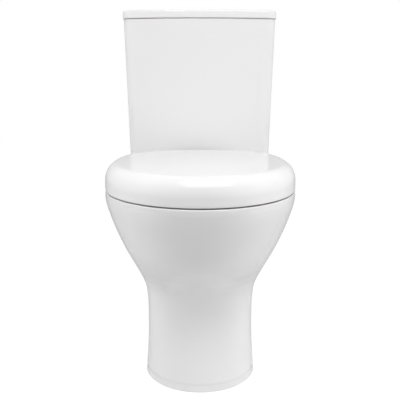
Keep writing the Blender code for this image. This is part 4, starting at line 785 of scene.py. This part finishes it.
def make_seat_lid():
    rings = []
    for inset in (0.110, 0.080, 0.055, 0.038, 0.030):
        rings.append([Vector((x, y, lid_top(y))) for x, y in seat_outline(inset)])
    for inset, up in reversed(rounding(LID_ROUND, 14)):
        up *= LID_ROUND_UP / LID_ROUND
        rings.append([Vector((x, y, lid_top(y) - LID_ROUND_UP + up)) for x, y in seat_outline(inset)])
    for share in (0.75, 0.5, 0.25):
        ring = []
        for x, y in seat_outline(0.0):
            high = lid_top(y) - LID_ROUND_UP
            low = lid_edge(y) + LID_RIM_EDGE
            ring.append(Vector((x, y, low + (high - low) * share)))
        rings.append(ring)
    for inset, up in (
        (0.0, LID_RIM_EDGE),
        (LID_RIM_EDGE * 0.3, LID_RIM_EDGE * 0.3),
        (LID_RIM_EDGE, 0.0),
        (SEAT_WALL - LID_RIM_EDGE, 0.0),
        (SEAT_WALL, LID_RIM_EDGE),
    ):
        rings.append([Vector((x, y, lid_edge(y) + up)) for x, y in seat_outline(inset)])
    for inset, up in rounding(LID_ROUND - SEAT_WALL, 8):
        up *= (LID_ROUND_UP - SEAT_WALL) / (LID_ROUND - SEAT_WALL)
        outline = seat_outline(SEAT_WALL + inset)
        rings.append([Vector((x, y, lid_top(y) - LID_ROUND_UP + up)) for x, y in outline])
    lid = piece("seat_lid_shell", skin(rings), "seat_plastic", "seat_lid", "seat_lid")

    # its rear wall is open about the hinges
    plate_z = lid_top(HINGE.y) - SEAT_WALL
    notch_side = HINGE_X + 0.028
    notch_low = Vector((-notch_side, HINGE.y - 0.0135, RIM_HEIGHT - 0.01))
    notch_high = Vector((notch_side, SEAT_BACK + 0.03, plate_z))
    settle(lid, cuts=[helper("notch", rounded_slab(notch_low, notch_high, 0.004, 0.001))])

    # its lugs hang from its plate, outside the posts
    def lug_outline(shrink):
        radius = LUG_RADIUS - shrink
        below = []
        for i in range(25):
            angle = -pi * i / 24
            below.append((HINGE.y + radius * cos(angle), HINGE.z + radius * sin(angle)))
        return [(HINGE.y + radius, plate_z + 0.002), *below, (HINGE.y - radius, plate_z + 0.002)]

    add_lugs(lid, HINGE_X + POST_TO_LUG, lug_outline)


def make_seat_ring():
    outline = seat_outline(RING_CLEARANCE, RING_BACK + RING_CLEARANCE)
    middle = (OPENING_FRONT + OPENING_BACK) / 2
    opening = egg_outline(OPENING_HALF_WIDTH, OPENING_FRONT, middle, OPENING_BACK)
    rings = []
    for across, up in through(RING_SECTION, 3):
        ring = []
        for (outer_x, outer_y), (inner_x, inner_y) in zip(outline, opening):
            x = outer_x + (inner_x - outer_x) * across
            y = outer_y + (inner_y - outer_y) * across
            ring.append(Vector((x, y, RING_LOW + (RING_HIGH - RING_LOW) * max(up, 0.0))))
        rings.append(ring)
    seat = piece("seat_ring_moulding", skin(rings, endless=True), "seat_plastic", "seat_ring", "seat_ring")

    # its lugs run back from it, inside the posts
    def lug_outline(shrink):
        radius = LUG_RADIUS - shrink
        round_end = []
        for i in range(25):
            angle = -pi / 2 + pi * i / 24
            round_end.append((HINGE.y + radius * cos(angle), HINGE.z + radius * sin(angle)))
        root_y = RING_BACK - 0.020
        return [*round_end, (root_y, RING_HIGH - 0.004 - shrink), (root_y, RING_LOW + 0.003 + shrink)]

    add_lugs(seat, HINGE_X - POST_TO_LUG - LUG_WIDTH, lug_outline)


def add_lugs(obj, inner, lug_outline):
    """Joins a lug on each side, from inner outwards, and bores it for the hinge pin."""
    outer = inner + LUG_WIDTH
    lugs, bores = [], []
    for side in (-1, 1):
        rings = []
        stations = ((inner, LUG_EDGE), (inner + LUG_EDGE, 0.0), (outer - LUG_EDGE, 0.0), (outer, LUG_EDGE))
        for x, shrink in stations:
            rings.append([Vector((side * x, y, z)) for y, z in lug_outline(shrink)])
        lugs.append(helper("lug", skin(rings)))
        ends = [(side * x, HINGE.y, HINGE.z) for x in (inner - 0.004, outer + 0.004)]
        bores.append(helper("bore", skin([circle(PIN_HOLE, end, "X", 32) for end in ends])))
    settle(obj, lugs, bores)


# ================================================================ carried-over CAD nodes
def finish_cad_nodes():
    """Every CAD node that is still shown takes its slot's finish."""
    slots = {part["node"]: part["material_slot"] for part in frame["record"]["subparts"]}
    for name, obj in frame["nodes"].items():
        if obj.hide_render:
            continue
        obj.data.materials.clear()
        obj.data.materials.append(MATERIALS[slots[name]])


# ================================================================ studio and camera
WORLD_FRONT = 0.04  # behind the camera
WORLD_LEFT = 0.82
WORLD_RIGHT = 0.71
WORLD_BACK = 0.55
WORLD_TOP = 0.11  # added overhead
# (name, place, aim, size, watts, whether it shows in reflections)
LAMPS = (
    ("overhead_softbox", (0.25, -1.10, 2.20), (0.0, -0.10, 0.45), (2.0, 1.2), 28.5, True),
    ("left_softbox", (-1.5, -0.62, 0.85), (0.0, -0.02, 0.35), (1.0, 1.6), 1.8, False),
    ("left_high_softbox", (-1.5, -0.90, 1.10), (0.0, -0.10, 0.30), (0.8, 0.8), 4.1, False),
    ("left_low_softbox", (-1.6, -0.90, 0.45), (0.0, -0.05, 0.25), (0.8, 0.8), 4.0, False),
    ("right_low_softbox", (1.6, -0.90, 0.45), (0.0, -0.05, 0.25), (0.8, 0.8), 9.8, False),
)
CAMERA_LENS = 47.8  # mm, on a 36 mm sensor
CAMERA_PLACE = (-0.0057, FRONT - 0.793, 0.566)
CAMERA_DOWN = radians(10.7)
CAMERA_RIGHT = radians(0.3)
FLOOR_PALE = 0.72  # the sheet under and behind the object
FLOOR_DARK = 0.12  # the bare floor in front of it
FLOOR_PALE_FROM = FRONT - 0.25
FLOOR_DARK_FROM = FRONT - 0.55
FLOOR_WHITE = 0.80  # how much of the floor the camera sees as plain white, the rest being its shading
FLOOR_GLOW = 1.16


def ramp(tree, source, low, high, at_low, at_high):
    """A smooth step of a value between two places."""
    node = add_node(tree, "ShaderNodeMapRange", interpolation_type="SMOOTHSTEP")
    node.inputs["From Min"].default_value = low
    node.inputs["From Max"].default_value = high
    node.inputs["To Min"].default_value = at_low
    node.inputs["To Max"].default_value = at_high
    tree.links.new(source, node.inputs["Value"])
    return node.outputs["Result"]


def math(tree, operation, *sources):
    node = add_node(tree, "ShaderNodeMath", operation=operation)
    for k, source in enumerate(sources):
        tree.links.new(source, node.inputs[k])
    return node.outputs["Value"]


def make_studio():
    """Soft light from all sides but the camera's, and softboxes overhead and at both sides."""
    world = bpy.data.worlds.new("studio")
    bpy.context.scene.world = world
    world.use_nodes = True
    tree = world.node_tree
    link = tree.links.new
    place = add_node(tree, "ShaderNodeTexCoord").outputs["Generated"]
    axes = add_node(tree, "ShaderNodeSeparateXYZ")
    link(place, axes.inputs["Vector"])
    # one strength behind the camera, to the left, to the right and behind the object, and more overhead
    left = ramp(tree, axes.outputs["X"], -0.30, -0.80, 0.0, WORLD_LEFT - WORLD_FRONT)
    right = ramp(tree, axes.outputs["X"], 0.30, 0.80, WORLD_FRONT, WORLD_RIGHT)
    sides = math(tree, "ADD", left, right)
    behind = ramp(tree, axes.outputs["Y"], -0.10, 0.45, 0.0, 1.0)
    around = add_node(tree, "ShaderNodeMix", data_type="FLOAT")
    link(behind, around.inputs["Factor"])
    link(sides, around.inputs[2])
    around.inputs[3].default_value = WORLD_BACK
    overhead = ramp(tree, axes.outputs["Z"], 0.35, 0.95, 0.0, WORLD_TOP)
    rays = add_node(tree, "ShaderNodeLightPath")
    seen = add_node(tree, "ShaderNodeMix", data_type="FLOAT")
    link(rays.outputs["Is Camera Ray"], seen.inputs["Factor"])
    link(math(tree, "ADD", around.outputs[0], overhead), seen.inputs[2])
    seen.inputs[3].default_value = 1.0
    background = tree.nodes["Background"]
    background.inputs["Color"].default_value = (1.0, 1.0, 1.0, 1.0)
    link(seen.outputs[0], background.inputs["Strength"])

    for name, location, aim, size, power, shows in LAMPS:
        light = bpy.data.lights.new(name, "AREA")
        light.shape = "RECTANGLE"
        light.size, light.size_y = size
        light.energy = power
        lamp = bpy.data.objects.new(name, light)
        lamp.location = location
        lamp.visible_glossy = shows
        lamp.rotation_euler = (Vector(aim) - Vector(location)).to_track_quat("-Z", "Y").to_euler()
        bpy.context.scene.collection.objects.link(lamp)


def make_floor():
    """A floor that the camera sees as the white background, with the object's faint shadow kept."""
    bm = bmesh.new()
    bmesh.ops.create_grid(bm, x_segments=2, y_segments=2, size=6.0)
    mesh = bpy.data.meshes.new("floor")
    bm.to_mesh(mesh)
    bm.free()
    floor = bpy.data.objects.new("floor", mesh)
    floor.location.z = -0.0002
    bpy.context.scene.collection.objects.link(floor)
    made, tree, shader = new_material("studio_floor")
    link = tree.links.new
    place = add_node(tree, "ShaderNodeTexCoord").outputs["Object"]
    cloud = add_node(tree, "ShaderNodeTexNoise", Scale=3.0)
    link(place, cloud.inputs["Vector"])
    link(ramp(tree, cloud.outputs["Fac"], 0.0, 1.0, 0.80, 0.92), shader.inputs["Roughness"])
    axes = add_node(tree, "ShaderNodeSeparateXYZ")
    link(place, axes.inputs["Vector"])
    pale = ramp(tree, axes.outputs["Y"], FLOOR_DARK_FROM, FLOOR_PALE_FROM, FLOOR_DARK, FLOOR_PALE)
    colour = add_node(tree, "ShaderNodeCombineColor")
    for channel in ("Red", "Green", "Blue"):
        link(pale, colour.inputs[channel])
    link(colour.outputs["Color"], shader.inputs["Base Color"])
    white = add_node(tree, "ShaderNodeEmission", Strength=FLOOR_GLOW)
    rays = add_node(tree, "ShaderNodeLightPath")
    seen = add_node(tree, "ShaderNodeMath", operation="MULTIPLY")
    seen.inputs[1].default_value = FLOOR_WHITE
    link(rays.outputs["Is Camera Ray"], seen.inputs[0])
    mix = add_node(tree, "ShaderNodeMixShader")
    link(seen.outputs["Value"], mix.inputs["Fac"])
    link(shader.outputs["BSDF"], mix.inputs[1])
    link(white.outputs["Emission"], mix.inputs[2])
    link(mix.outputs["Shader"], tree.nodes["Material Output"].inputs["Surface"])
    mesh.materials.append(made)


def make_camera():
    """A camera at the photograph's viewing angle: low in front, looking a little down."""
    camera_data = bpy.data.cameras.new("camera")
    camera_data.sensor_width = 36.0
    camera_data.lens = CAMERA_LENS
    camera = bpy.data.objects.new("camera", camera_data)
    camera.location = CAMERA_PLACE
    camera.rotation_euler = (radians(90) - CAMERA_DOWN, 0.0, -CAMERA_RIGHT)
    bpy.context.scene.collection.objects.link(camera)
    bpy.context.scene.camera = camera


# ================================================================ the whole scene
bpy.context.scene.view_settings.view_transform = "Standard"
make_camera()
make_pan()
make_cistern()
make_cistern_lid()
make_seat_ring()
make_seat_lid()
finish_cad_nodes()
make_studio()
make_floor()
